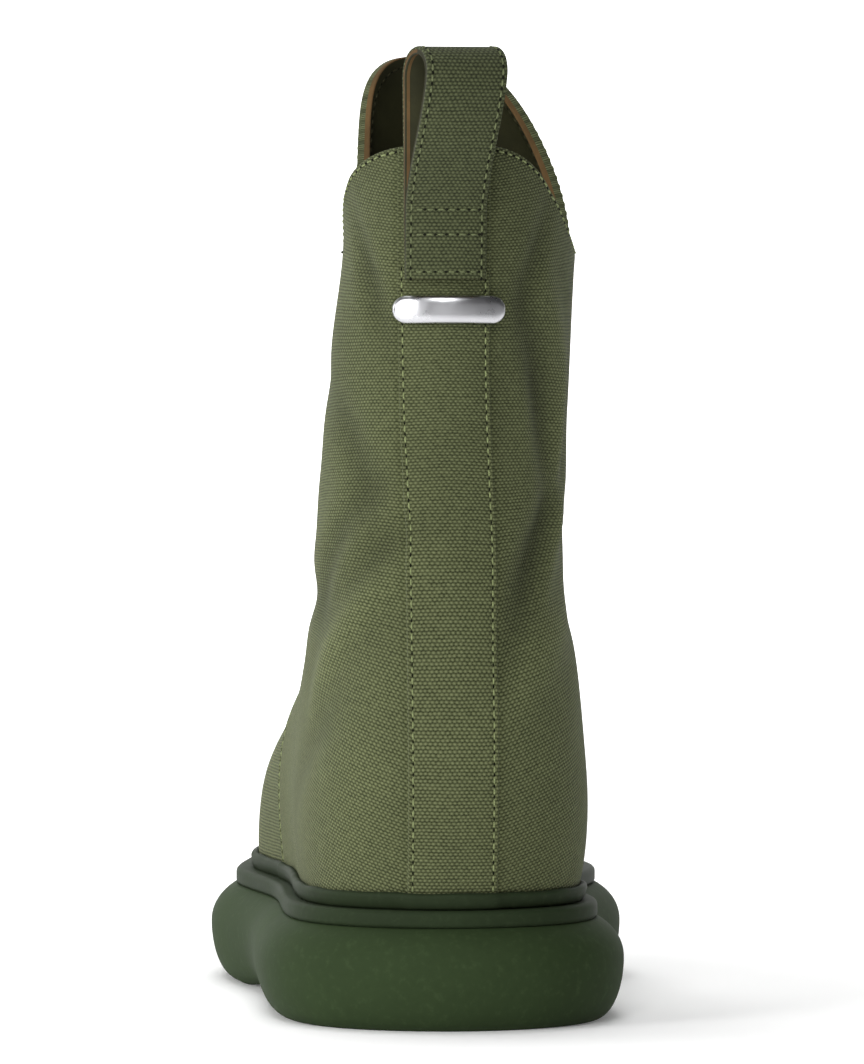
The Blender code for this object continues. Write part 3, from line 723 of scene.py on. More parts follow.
def new_mesh(name, points, faces, materials, face_materials=None, uv=None, sharp=None, fold=None):
    """A smooth-shaded object from whole arrays: uv is for each corner of a face, fold for each point."""
    mesh = bpy.data.meshes.new(name)
    corners = faces.tolist() if isinstance(faces, np.ndarray) else faces
    mesh.from_pydata(np.asarray(points, float).reshape(-1, 3).tolist(), [], corners)
    for material in materials:
        mesh.materials.append(material)
    if face_materials is not None:
        mesh.polygons.foreach_set("material_index", np.asarray(face_materials, np.int32))
    if uv is not None:
        layer = mesh.uv_layers.new(name="UVMap")
        layer.data.foreach_set("uv", np.asarray(uv, np.float32).ravel())
    mesh.polygons.foreach_set("use_smooth", np.ones(len(mesh.polygons), bool))
    if fold is not None:
        layer = mesh.attributes.new("fold", "FLOAT", "POINT")
        layer.data.foreach_set("value", np.asarray(fold, np.float32).ravel())
    if sharp is not None:
        mesh.set_sharp_from_angle(angle=math.radians(sharp))
    mesh.update()
    obj = bpy.data.objects.new(name, mesh)
    bpy.context.scene.collection.objects.link(obj)
    return obj


def dress(obj, slot, *nodes):
    """Lets a piece ride on the boot and stand for CAD nodes; slot is not used."""
    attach(obj, "root")
    if nodes:
        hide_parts(*nodes)
    return obj


# Shader building


class Shader:
    """A small helper that adds nodes to one material and joins them."""

    def __init__(self, name):
        self.material = bpy.data.materials.new(name)
        self.material.use_nodes = True
        self.tree = self.material.node_tree
        self.surface = self.tree.nodes["Principled BSDF"]

    def node(self, kind, **settings):
        made = self.tree.nodes.new(kind)
        for key, value in settings.items():
            setattr(made, key, value)
        return made

    def join(self, value, socket):
        if isinstance(value, bpy.types.NodeSocket):
            self.tree.links.new(value, socket)
        else:
            socket.default_value = value

    def place(self):
        """The point in the piece's own coordinates."""
        return self.node("ShaderNodeTexCoord").outputs["Object"]

    def math(self, operation, first, second=0.0, third=None):
        made = self.node("ShaderNodeMath", operation=operation)
        self.join(first, made.inputs[0])
        self.join(second, made.inputs[1])
        if third is not None:
            self.join(third, made.inputs[2])
        return made.outputs[0]

    def noise(self, vector, scale, detail=2.0, roughness=0.5):
        made = self.node("ShaderNodeTexNoise")
        self.join(vector, made.inputs["Vector"])
        made.inputs["Scale"].default_value = scale
        made.inputs["Detail"].default_value = detail
        made.inputs["Roughness"].default_value = roughness
        return made.outputs["Fac"]

    def spread(self, value, low, high, to_low=0.0, to_high=1.0):
        made = self.node("ShaderNodeMapRange")
        self.join(value, made.inputs["Value"])
        limits = {"From Min": low, "From Max": high, "To Min": to_low, "To Max": to_high}
        for name, number in limits.items():
            self.join(number, made.inputs[name])
        return made.outputs["Result"]

    def mix(self, factor, first, second, mode="MIX"):
        made = self.node("ShaderNodeMix", data_type="RGBA", blend_type=mode)
        self.join(factor, made.inputs["Factor"])
        self.join(first, made.inputs["A"])
        self.join(second, made.inputs["B"])
        return made.outputs["Result"]

    def bump(self, height, distance, strength=1.0):
        made = self.node("ShaderNodeBump")
        self.join(height, made.inputs["Height"])
        made.inputs["Distance"].default_value = distance
        made.inputs["Strength"].default_value = strength
        return made.outputs["Normal"]

    def set(self, **inputs):
        for name, value in inputs.items():
            self.join(value, self.surface.inputs[name.replace("_", " ")])


def colour(red, green, blue):
    """A photo colour, 0 to 255, as linear light."""
    share = np.array([red, green, blue]) / 255
    linear = np.where(share <= 0.04045, share / 12.92, ((share + 0.055) / 1.055) ** 2.4)
    return (*linear.tolist(), 1.0)


def toned(tone, share, lift=0.0):
    """A colour made deeper or paler."""
    return tuple(min(1.0, c * share + lift) for c in tone[:3]) + (1.0,)


def canvas_material(name, light, dark):
    """Plain-weave canvas: rounded rows with dark gaps, and bumps along each that stagger row by row. Its
    colour holds painted shade and highlight: in the weave's gaps and on its bumps, by height, and in the
    creases.
    """
    s = Shader(name)
    uv = s.node("ShaderNodeUVMap").outputs["UV"]
    place = s.place()
    wander = s.math("SUBTRACT", s.noise(place, 110.0, 2.0), 0.5)
    parts = s.node("ShaderNodeSeparateXYZ")
    s.join(uv, parts.inputs[0])
    u = s.math("MULTIPLY_ADD", wander, 1.1 * MM, parts.outputs["X"])
    v = s.math("MULTIPLY_ADD", wander, -0.5 * MM, parts.outputs["Y"])
    around = s.math("COSINE", s.math("MULTIPLY", u, 2 * math.pi / FLOAT_PITCH))
    half_turn = s.math("COSINE", s.math("MULTIPLY", v, math.pi / ROW_PITCH))
    rows = s.math("MULTIPLY", half_turn, half_turn)
    bumps = s.math("MULTIPLY", around, half_turn)
    height = s.math("MULTIPLY_ADD", rows, WEAVE_ROWS, WEAVE_BASE)
    height = s.math("MULTIPLY_ADD", bumps, WEAVE_BUMPS, height)
    streak = s.node("ShaderNodeCombineXYZ")
    s.join(s.math("MULTIPLY", u, 0.2), streak.inputs[0])
    s.join(v, streak.inputs[1])
    thread = s.math("SUBTRACT", s.noise(streak.outputs[0], 900.0, 2.0), 0.5)
    fibre = s.math("SUBTRACT", s.noise(uv, 2400.0, 2.0, 0.6), 0.5)
    grain = s.math("SUBTRACT", s.noise(uv, 620.0, 1.0), 0.5)
    level = s.math("MULTIPLY_ADD", fibre, WEAVE_FIBRE, s.spread(height, 0.05, 0.95))
    level = s.math("MULTIPLY_ADD", grain, WEAVE_GRAIN, level)
    level = s.math("MULTIPLY_ADD", thread, WEAVE_THREAD, level)
    level = s.math("POWER", s.math("MAXIMUM", s.math("MINIMUM", level, 1.0), 0.0), WEAVE_POWER)
    # The weave's height also sets its colour: painted shade in the gaps and painted highlight on the bumps,
    # mixed with the fibres' own uneven tone
    base = s.mix(level, dark, light)
    tone_and_painted_shade = s.spread(s.noise(place, 38.0, 3.0, 0.55), 0.3, 0.7, 0.92, 1.08)
    # Painted shade by height: paler low down, darker towards the top
    height_parts = s.node("ShaderNodeSeparateXYZ")
    s.join(place, height_parts.inputs[0])
    tone_and_painted_shade = s.math("MULTIPLY", tone_and_painted_shade, s.spread(height_parts.outputs["Z"], *PAINTED_SHADE_HEIGHTS, *PAINTED_SHADE_TONES))
    # Painted shade in crease troughs and painted highlight on crease ridges, from the crease heights on the
    # points
    fold = s.node("ShaderNodeAttribute", attribute_name="fold").outputs["Fac"]
    tone_and_painted_shade = s.math("MULTIPLY", tone_and_painted_shade, s.spread(fold, *FOLD_SHADE_DEPTHS, *FOLD_SHADE_TONES))
    grey = s.node("ShaderNodeCombineXYZ")
    for i in range(3):
        s.join(tone_and_painted_shade, grey.inputs[i])
    base = s.mix(1.0, base, grey.outputs[0], "MULTIPLY")
    relief = s.math("MULTIPLY_ADD", fibre, 0.3, height)
    s.set(
        Base_Color=base,
        Roughness=0.9,
        Sheen_Weight=0.06,
        Sheen_Roughness=0.5,
        Sheen_Tint=(0.7, 0.75, 0.55, 1.0),
        Specular_IOR_Level=0.2,
        Normal=s.bump(relief, 0.3 * MM, 0.9),
    )
    return s.material


def rubber_material(name, tone, rough, grain=0.02):
    """Moulded rubber: even colour, fine grain, soft uneven shine."""
    s = Shader(name)
    place = s.place()
    fine = s.noise(place, 1400.0, 2.0, 0.6)
    broad = s.noise(place, 26.0, 3.0, 0.5)
    dust = s.noise(place, 420.0, 4.0, 0.65)
    pale = toned(tone, 1.5, 0.004)
    deep = toned(tone, 0.8)
    base = s.mix(s.spread(broad, 0.3, 0.7), deep, tone)
    base = s.mix(s.spread(dust, 0.54, 0.8, 0.0, 0.5), base, pale)
    base = s.mix(s.spread(dust, 0.46, 0.3, 0.0, 0.4), base, deep)
    relief = s.math("ADD", fine, s.math("MULTIPLY", dust, 0.8))
    s.set(
        Base_Color=base,
        Roughness=s.spread(broad, 0.3, 0.7, rough - 0.05, rough + 0.05),
        Specular_IOR_Level=0.06,
        Normal=s.bump(relief, grain * MM, 1.0),
    )
    return s.material


def leather_material(name, tone, rough, grain):
    """Leather: uneven colour with a fine grain."""
    s = Shader(name)
    place = s.place()
    fine = s.noise(place, 900.0, 4.0, 0.65)
    broad = s.noise(place, 60.0, 3.0, 0.6)
    deep = toned(tone, 0.6)
    base = s.mix(s.spread(broad, 0.32, 0.68), deep, tone)
    base = s.mix(s.spread(fine, 0.45, 0.75, 0.0, 0.35), base, deep)
    s.set(
        Base_Color=base,
        Roughness=rough,
        Specular_IOR_Level=0.15,
        Normal=s.bump(fine, grain * MM, 0.8),
    )
    return s.material


def thread_material(name, tone):
    """Twisted sewing thread: lighter and darker strands across it."""
    s = Shader(name)
    place = s.place()
    strands = s.noise(place, 2600.0, 2.0, 0.6)
    deep = toned(tone, 0.55)
    s.set(
        Base_Color=s.mix(s.spread(strands, 0.35, 0.65), deep, tone),
        Roughness=0.8,
        Specular_IOR_Level=0.2,
        Normal=s.bump(strands, 0.08 * MM, 0.8),
    )
    return s.material


def metal_material(name, tone, rough):
    """Polished metal with faint cloudiness and hairlines."""
    s = Shader(name)
    place = s.place()
    cloud = s.noise(place, 160.0, 3.0, 0.5)
    streaks = s.node("ShaderNodeVectorMath", operation="MULTIPLY")
    s.join(place, streaks.inputs[0])
    streaks.inputs[1].default_value = (0.08, 1.0, 1.0)
    hair = s.noise(streaks.outputs[0], 2400.0, 2.0, 0.6)
    s.set(
        Base_Color=tone,
        Metallic=1.0,
        Roughness=s.spread(cloud, 0.3, 0.7, rough - 0.04, rough + 0.06),
        Normal=s.bump(hair, 0.004 * MM, 0.6),
    )
    return s.material


# Pieces


def upper_columns(level):
    """Turns of the mesh's columns for arrays of levels: finer beside the overlays' edges."""
    beside = np.array(EDGE_COLUMNS) * MM
    level = np.asarray(level, float)[..., None]
    strip_medial = edge_arc("strip_medial", level)
    strip_lateral = edge_arc("strip_lateral", level)
    seam_medial = edge_arc("seam_medial", level)
    seam_lateral = edge_arc("seam_lateral", level)

    def run(start, end, count):
        """Even columns strictly between two arcs."""
        share = np.arange(1, count) / count
        return blend(start, end, share)

    strip_in = strip_medial - beside[-1]
    medial = [
        run(strip_in * 0, strip_in, STRIP_COLUMNS),
        strip_medial - beside[::-1],
        run(strip_medial - beside[0], seam_medial - beside[-1], SIDE_COLUMNS),
        seam_medial - beside[::-1],
    ]
    lateral = [
        seam_lateral + beside,
        run(seam_lateral + beside[-1], strip_lateral + beside[0], SIDE_COLUMNS),
        strip_lateral + beside,
        run(strip_lateral + beside[-1], strip_in * 0, STRIP_COLUMNS),
    ]
    medial_turns = turn_of_arc(np.concatenate(medial, axis=-1), level)
    lateral_turns = turn_of_arc(np.concatenate(lateral, axis=-1), level) + 1
    first, last = medial_turns[..., -1:], lateral_turns[..., :1]
    front = run(first, last, FRONT_COLUMNS)
    start = np.zeros_like(first)
    return np.concatenate([start, medial_turns, front, lateral_turns], axis=-1)


def column_grid(levels):
    """Turns for a grid of levels, rows by columns, read from columns laid out at each edge level."""
    table = upper_columns(EDGE_LEVELS)
    place = np.clip(levels / TOP_RING * (len(EDGE_LEVELS) - 1), 0, len(EDGE_LEVELS) - TABLE_STOP)
    row = place.astype(int)
    column = np.broadcast_to(np.arange(table.shape[1]), levels.shape)
    return blend(table[row, column], table[row + 1, column], place - row)


def collar_of_columns():
    """Each column's level at the collar, found by going back and forth between turn and height."""
    count = upper_columns(np.array([0.0])).shape[-1]
    levels = np.full((1, count), TOP_RING - 1)
    for _ in range(ROUNDS):
        levels = collar_level(column_grid(levels)[0])[None, :]
    return levels[0]


def make_upper(canvas, tan, lining):
    """One skin: canvas outside from the sole to the collar, over the leather rim, and down the lining."""
    top = collar_of_columns()
    top_turn = column_grid(top[None, :])[0]
    rate = up_rate(top_turn, top)
    low = np.linspace(0, 1, UPPER_ROWS)[:, None]
    near = np.array(COLLAR_ROWS)[:, None] * MM
    below = (top - COLLAR_BAND / rate)[None, :]
    outer_levels = np.concatenate([low * below, top[None, :] - near / rate[None, :]])
    outer_turns = column_grid(outer_levels)
    outer = cloth(outer_turns, outer_levels)
    seam_line = -COLLAR_SEAM_DEPTH * bell((near - COLLAR_INSET) / COLLAR_SEAM_WIDTH)
    outward = last_normal(outer_turns[UPPER_ROWS:], outer_levels[UPPER_ROWS:])
    outer[UPPER_ROWS:] += outward * seam_line[..., None]

    proud = overlay_field(top_turn, top, rolls=False)
    rim = []
    rim_levels = []
    for inset, drop, side in RIM_SECTION:
        level = top - drop * RIM_ROUND / rate
        sunk = blend(proud - inset * RIM_ROUND, inset * RIM_ROUND - WALL - RIM_PADDING, side)
        base = cloth(top_turn, level)
        rim.append(base + last_normal(top_turn, level) * (sunk - overlay_field(top_turn, level))[:, None])
        rim_levels.append(level)
    inner_share = np.linspace(1, 0, LINING_ROWS)[:, None]
    inner_levels = np.concatenate([top[None, :] - near[::-1] / rate[None, :], inner_share * below])
    inner_turns = column_grid(inner_levels)
    inner = cloth(inner_turns, inner_levels, inner=True)
    padding = RIM_PADDING * bell(near[::-1] / RIM_PADDING_REACH)
    outward = last_normal(inner_turns[:len(near)], inner_levels[:len(near)])
    inner[:len(near)] -= outward * padding[..., None]

    points = np.concatenate([outer, np.array(rim), inner])
    levels = np.concatenate([outer_levels, np.array(rim_levels), inner_levels])
    turns = np.concatenate([outer_turns, np.tile(top_turn, (len(rim), 1)), inner_turns])
    rows, columns = levels.shape
    faces = quads_of(rows, columns, closed=True)

    wrapped_turns = np.concatenate([turns, np.ones((rows, 1))], axis=1)
    wrapped_levels = np.concatenate([levels, levels[:, :1]], axis=1)
    edge_level = np.clip(wrapped_levels, 0, TOP_RING)
    arc = read_arc(wrapped_turns, edge_level)
    whole = read_arc(np.ones_like(arc), edge_level)
    back_u = np.where(wrapped_turns > 0.5, arc - whole, arc)
    front_u = arc - read_arc(np.full_like(arc, 0.5), edge_level)
    back_v = np.interp(edge_level, EDGE_LEVELS, QUARTER_RISE)
    past_strip = np.clip(np.abs(back_u) - STRIP_WIDTH / 2, 0, None)
    back_v = back_v - past_strip * np.interp(back_v / MM, *GRAIN_RISES)
    front_v = read_table(RISES, wrapped_turns, edge_level)
    middle = len(outer_levels) // 2
    front_half = 0.5 - edge_turn("seam_medial", edge_level[middle, 0]) + 1e-4
    in_front = np.abs(wrapped_turns[middle, :-1] - 0.5) < front_half

    face_row, face_column, corner_rows, corner_columns = corners_of(len(faces), columns)
    choose = in_front[face_column][:, None]
    u = np.where(choose, front_u[corner_rows, corner_columns], back_u[corner_rows, corner_columns])
    v = np.where(choose, front_v[corner_rows, corner_columns], back_v[corner_rows, corner_columns])

    half_rim = len(RIM_SECTION) // 2
    outer_end = len(outer_levels) + half_rim
    tan_end = outer_end + half_rim
    kinds = np.where(face_row < tan_end, TAN_PLACE, LINING_PLACE)
    kinds[face_row < outer_end] = CANVAS_PLACE
    # Crease heights in mm on each point, which the canvas reads for its painted shade and highlight
    fold = folds(turns, np.clip(levels, 0, TOP_RING)) / MM
    uv = np.stack([u, v], -1)
    return new_mesh("upper_cloth", points, faces, [canvas, tan, lining], kinds, uv, fold=fold)


def ring_grid(profile, turns, lift=None):
    """A section carried round the sole: profile is (offset, height) arrays, one point for each."""
    rows = []
    for offset, height in profile:
        plan = outline(np.broadcast_to(offset, turns.shape), turns)
        z = np.broadcast_to(height, turns.shape).copy()
        if lift is not None:
            z = z + lift(plan[:, 1], z)
        rows.append(PLACE + lifted(np.column_stack([plan, z])))
    return np.array(rows)


def arc_points(start, end, centre, radii, count):
    """Points on an ellipse's arc between two angles in degrees."""
    angle = np.radians(np.linspace(start, end, count))
    return [(centre[0] + radii[0] * math.cos(a), centre[1] + radii[1] * math.sin(a)) for a in angle]


def sole_turns():
    return np.arange(SOLE_COLUMNS) / SOLE_COLUMNS


def make_outsole(rubber):
    """The puffed tube round the sole, its underside with grooves, and the flat that carries the midsole."""
    turns = sole_turns()
    rise = OUTSOLE_HEIGHT - OUTSOLE_BELLY
    shoulder = rise * SHOULDER_SHARE
    reach = math.asin(rise / shoulder)
    shoulder_width = (BELLY_OVER + SHOULDER_TUCK) / (1 - math.cos(reach))
    lower_centre = (BELLY_OUT - OUTSOLE_TUCK, OUTSOLE_BELLY)
    upper_centre = (BELLY_OUT - shoulder_width, OUTSOLE_BELLY)
    lower = arc_points(-90, 0, lower_centre, (OUTSOLE_TUCK, OUTSOLE_BELLY), TUBE_ROWS[0])
    upper = arc_points(0, math.degrees(reach), upper_centre, (shoulder_width, shoulder), TUBE_ROWS[1])
    inward = [(LEDGE_OUT - inset, OUTSOLE_HEIGHT - FLAT_SUNK) for inset in FLAT_INSETS]
    profile = lower + upper[1:] + inward

    def raise_arch(y, z):
        return arch_lift(y) * np.clip(1 - z / OUTSOLE_HEIGHT, 0, 1)

    grid = ring_grid(profile, turns, raise_arch)
    faces = [quads_of(len(profile), len(turns), closed=True)]
    points = [grid.reshape(-1, 3)]
    rim = outline(np.full(len(turns), BELLY_OUT - OUTSOLE_TUCK), turns)
    half = len(turns) // 2
    medial, lateral = rim[: half + 1], np.concatenate([rim[half:], rim[:1]])[::-1]
    low_y, high_y = rim[:, 1].min(), rim[:, 1].max()
    heel_shares = np.linspace(*HEEL_GROOVE_SHARES, HEEL_GROOVES)
    forefoot_shares = np.linspace(*FOREFOOT_GROOVE_SHARES, FOREFOOT_GROOVES)
    shares = np.concatenate([heel_shares, forefoot_shares])
    walls = (shares * UPPER_LENGTH)[:, None] + np.array(GROOVE_WALLS) * GROOVE_WIDTH
    even = blend(low_y, high_y, ease(np.linspace(0, 1, PANEL_ROWS)) * 0.998 + 0.001)
    ys = np.unique(np.concatenate([walls.ravel(), even]))
    right = np.interp(ys, medial[:, 1], medial[:, 0])
    left = np.interp(ys, lateral[:, 1], lateral[:, 0])
    across = np.concatenate([np.linspace(-1, -0.9, 4), np.linspace(-0.6, 0.6, 9), np.linspace(0.9, 1, 4)])
    xs = blend((left + right)[:, None] / 2, right[:, None], across[None, :])
    grooved = np.abs(ys - GROOVED_MIDDLE * UPPER_LENGTH) < GROOVED_HALF * UPPER_LENGTH
    # A groove ends before the panel's rim, also where the heel is narrower than the groove's span.
    first, last = 3, len(across) - 4
    left_end = np.maximum(-GROOVE_SPAN / 2, xs[:, first])
    right_end = np.minimum(GROOVE_SPAN / 2, xs[:, last])
    ends = {
        first: left_end,
        first + 1: left_end + GROOVE_END_RUN,
        last - 1: right_end - GROOVE_END_RUN,
        last: right_end,
    }
    for column, place in ends.items():
        xs[:, column] = np.where(grooved, place, xs[:, column])
    columns = np.arange(len(across))
    inside_x = (columns > first) & (columns < last)
    near = np.abs(ys[:, None] - shares * UPPER_LENGTH).min(axis=1)
    depth = GROOVE_DEPTH * (near < GROOVE_WIDTH * GROOVE_FLOOR_SHARE)[:, None] * inside_x
    base = arch_lift(ys) + toe_lift(ys)
    z = np.where(depth > 0, depth + toe_lift(ys)[:, None], base[:, None])
    bottom = PLACE + np.stack([xs, np.broadcast_to(ys[:, None], xs.shape), z], axis=-1)
    start = len(points[0])
    points.append(bottom.reshape(-1, 3))
    faces.append(quads_of(len(ys), xs.shape[1], closed=False)[:, ::-1] + start)
    return new_mesh("sole_tube", np.concatenate(points), np.concatenate(faces), [rubber], sharp=50)


def make_midsole(rubber):
    """The ledge: flat top with an eased edge, and a side that meets the tube in a crease."""
    turns = sole_turns()
    radius = LEDGE_EDGE
    low = MIDSOLE_BOTTOM - LEDGE_SUNK
    top = MIDSOLE_TOP
    profile = [(LEDGE_OUT - 6 * MM, low), (LEDGE_OUT - 1.2 * MM, low)]
    profile += arc_points(-60, 0, (LEDGE_OUT - 1.1 * MM, low + 1.5 * MM), (1.1 * MM, 1.3 * MM), 6)
    profile += arc_points(0, 90, (LEDGE_OUT - radius, top - radius), (radius, radius), 9)
    profile += [(LEDGE_OUT - 3 * MM, top - 0.05 * MM)]
    profile += [(offset, top - 0.1 * MM) for offset in (-4 * MM, -14 * MM)]
    grid = ring_grid(profile, turns)
    return new_mesh("sole_ledge", grid, quads_of(len(profile), len(turns), True), [rubber], sharp=60)


def rand_proud(turns):
    """The rand lies over the overlays' edges in a softer step."""
    return overlay_field(turns, np.zeros_like(turns), run=RAND_STEP_RUN, rolls=False)


def make_rand(rubber):
    """Rounded rubber strip round the foot of the cloth, sitting in a small groove on the ledge."""
    turns = np.arange(2 * SOLE_COLUMNS) / (2 * SOLE_COLUMNS)
    proud = rand_proud(turns)
    section = [(-0.6 * MM, -0.3 * MM), (RAND_THICK - 0.5 * MM, -0.3 * MM), (RAND_THICK, 0.5 * MM)]
    centre = (RAND_THICK - 1.3 * MM, RAND_HEIGHT - RAND_ROUND)
    section += arc_points(0, 90, centre, (RAND_ROUND, RAND_ROUND), 9)
    section += [
        (0.25 * MM, RAND_HEIGHT - 0.12 * MM),
        (-0.1 * MM, RAND_HEIGHT - 0.7 * MM),
        (-0.6 * MM, RAND_HEIGHT - 1.4 * MM),
    ]
    waves = sum(np.sin(turns * 2 * math.pi * count + phase) for count, phase in RAND_WAVES)
    wander = RAND_WANDER * waves / len(RAND_WAVES)
    grid = []
    for out, up in section:
        height = up + wander * (up > RAND_HEIGHT / 2)
        level = level_at_height(turns, FEATHER + np.maximum(height, 0))
        point = last_point(turns, level)
        normal = last_normal(turns, level)
        flat = unit(normal[:, :2])
        point[:, :2] += flat * (proud + out)[:, None]
        point[:, 2] = FEATHER + height
        grid.append(PLACE + lifted(point))
    grid = np.array(grid)
    return new_mesh("rand_bead", grid, quads_of(len(section), len(turns), True), [rubber], sharp=55)


def back_face(xs, z):
    """How far back the strip's outside lies at each x, for arrays of x and z of one shape."""
    level = np.interp(z, size_at("back_z", EDGE_LEVELS), EDGE_LEVELS)
    turns = np.linspace(-0.12, 0.12, 61)
    grid_turns = np.broadcast_to(turns, (*level.shape, len(turns)))
    grid_levels = np.broadcast_to(level[..., None], grid_turns.shape)
    proud = QUARTER_STEP + STRIP_STEP
    points = last_point(grid_turns, grid_levels) + last_normal(grid_turns, grid_levels) * proud
    flat_points = points.reshape(-1, len(turns), 3)
    found = [np.interp(x, p[:, 0], p[:, 1]) for x, p in zip(np.ravel(xs), flat_points)]
    return np.reshape(found, level.shape)


def back_table():
    """The strip's outside read at a few heights and places across, for quick interpolation."""
    xs = np.linspace(-20, 20, 21) * MM
    zs = FEATHER + np.linspace(150 * MM, BACK_RISE, 34)
    grid_x, grid_z = np.meshgrid(xs, zs)
    return xs, zs, back_face(grid_x, grid_z)


def read_back(x, z):
    """How far back the strip's outside lies, read from the table."""
    xs, zs, table = BACK
    return read_between(table, (z - zs[0]) / (zs[1] - zs[0]), (x - xs[0]) / (xs[1] - xs[0]))


def loop_path():
    """The strap's middle line in side view, as (back, up) with unit normals that point out of the loop."""
    belly = LOOP_SEWN_HEIGHT + LOOP_FREE_HEIGHT - LOOP_GAP / 2 - STRAP_THICK
    half = STRAP_THICK / 2
    up = np.linspace(0, belly, 60)
    inner = np.column_stack([np.full_like(up, half), up])
    angle = np.linspace(math.pi, 0, 33)[1:-1]
    centre = STRAP_THICK + LOOP_GAP / 2
    radius = LOOP_GAP / 2 + half
    fold = np.column_stack([centre + radius * np.cos(angle), belly + radius * np.sin(angle)])
    share = np.clip((up[::-1] - LOOP_SEWN_HEIGHT) / (belly - LOOP_SEWN_HEIGHT), 0, 1)
    swing = LOOP_GAP * np.sin(share * math.pi / 2) ** 1.3
    outer = np.column_stack([STRAP_THICK + half + swing, up[::-1]])
    path = np.concatenate([inner, fold, outer])
    tangent = unit(np.gradient(path, axis=0))
    return path, np.column_stack([-tangent[:, 1], tangent[:, 0]])


def strap_point(back, up, across):
    """A point of the strap: it hugs the strip at its sewn foot and straightens above."""
    top = LOOP_SEWN_HEIGHT + LOOP_FREE_HEIGHT
    share = np.clip(up / top, 0, 1)
    away = np.minimum(back / (LOOP_GAP + 2 * STRAP_THICK), 1)
    centre = LOOP_SHIFT + LOOP_TWIST * share * (2 * away - 0.4)
    z = FEATHER + LOOP_FOOT_RISE + up
    x = across + centre
    hugging = read_back(x, z)
    edge = [read_back(centre + side * STRAP_WIDTH / 2, z) for side in (-1, 1)]
    straight = np.minimum(*edge)
    straight = np.minimum(straight, read_back(centre, z))
    release = np.clip((up - LOOP_SEWN_HEIGHT) / LOOP_FREE_HEIGHT, 0, 1)
    y = blend(hugging, straight, release) - 0.1 * MM - back
    return PLACE + np.stack([x, y, z], axis=-1)


def strap_surface(path, normal, across, out):
    """Points on the strap for a place on its middle line, a distance across it and out of it."""
    at = path[:, None, :] + normal[:, None, :] * out[..., None]
    return strap_point(at[..., 0], at[..., 1], across)


def make_pull_loop(canvas, tan, lining):
    """The strap along its middle line: canvas outside, lining inside, a leather core at its edges."""
    path, normal = loop_path()
    half_w, half_t = STRAP_WIDTH / 2, STRAP_THICK / 2
    across = np.linspace(-half_w + 0.5 * MM, half_w - 0.5 * MM, STRAP_COLUMNS)
    seam = STRAP_SEAM_DEPTH * bell((half_w - np.abs(across) - STITCH_INSET) / SEAM_WIDTH)
    roll = STRAP_ROLL_RISE * bell((half_w - np.abs(across) - ROLL_INSET) / ROLL_WIDTH)
    face = np.column_stack([across, half_t - seam + roll])
    edge = np.array([
        (half_w - 0.12 * MM, half_t - 0.12 * MM),
        (half_w, half_t - 0.4 * MM),
        (half_w, half_t - 0.65 * MM),
        (half_w - 0.1 * MM, half_t - 0.75 * MM),
        (half_w - 0.1 * MM, -half_t + 0.6 * MM),
        (half_w, -half_t + 0.45 * MM),
        (half_w - 0.1 * MM, -half_t + 0.1 * MM),
    ])
    back = np.column_stack([across[::-1], -half_t + seam[::-1]])
    other = edge[::-1] * np.array([-1, 1])
    section = np.concatenate([face, edge, back, other])
    n_face, n_edge = len(face), len(edge)
    grid = strap_surface(
        path,
        normal,
        np.broadcast_to(section[:, 0], (len(path), len(section))),
        np.broadcast_to(section[:, 1], (len(path), len(section))),
    )
    faces = quads_of(len(path), len(section), closed=True)
    face_row, face_column, corner_rows, corner_columns = corners_of(len(faces), len(section))
    flat = n_face - 1
    inner_start = n_face + n_edge
    outer_half = [CANVAS_PLACE] * flat + STRAP_EDGE_KINDS
    inner_half = [LINING_PLACE] * flat + STRAP_EDGE_KINDS[::-1]
    kinds = np.array(outer_half + inner_half)[face_column]
    inner_face = (face_column >= inner_start) & (face_column < inner_start + flat)
    beside = half_w - np.abs(section[face_column, 0]) < LINING_SHORT
    kinds[inner_face & beside] = TAN_PLACE
    kinds[(kinds == TAN_PLACE) & (face_row > len(path) // 2)] = LINING_PLACE
    length = run_of(path)
    columns = np.concatenate([section[:, 0], section[:1, 0]])
    u = columns[corner_columns] + 0.3 * MM
    v = length[corner_rows]
    uv = np.stack([u, v], -1)[:, ::-1]
    return new_mesh("loop_strap", grid, faces[:, ::-1], [canvas, tan, lining], kinds, uv, sharp=60)


def make_strap_end(tan):
    """The cut end of the strap's outer layer, closed by a thin plate of the core leather."""
    path, normal = loop_path()
    half_w, half_t = STRAP_WIDTH / 2 - 0.1 * MM, STRAP_THICK / 2 - 0.1 * MM
    xs = np.linspace(-half_w, half_w, STRAP_COLUMNS)
    rows = []
    for out in (half_t, -half_t):
        rows.append(strap_surface(path[-1:], normal[-1:], xs[None, :], np.full((1, len(xs)), out))[0])
    grid = np.array(rows)
    return new_mesh("loop_strap_end", grid, quads_of(2, len(xs), False), [tan])


def resample(points, normals, pitch):
    """Centres, directions and normals at equal steps along a line of points."""
    run = run_of(points)
    count = max(int(run[-1] / pitch), 1)
    at = (np.arange(count) + 0.5) * (run[-1] / count)
    beside = 0.3 * pitch

    def read(places, values):
        return np.stack([np.interp(places, run, values[:, i]) for i in range(3)], axis=1)

    directions = unit(read(at + beside, points) - read(at - beside, points))
    return read(at, points), directions, unit(read(at, normals))


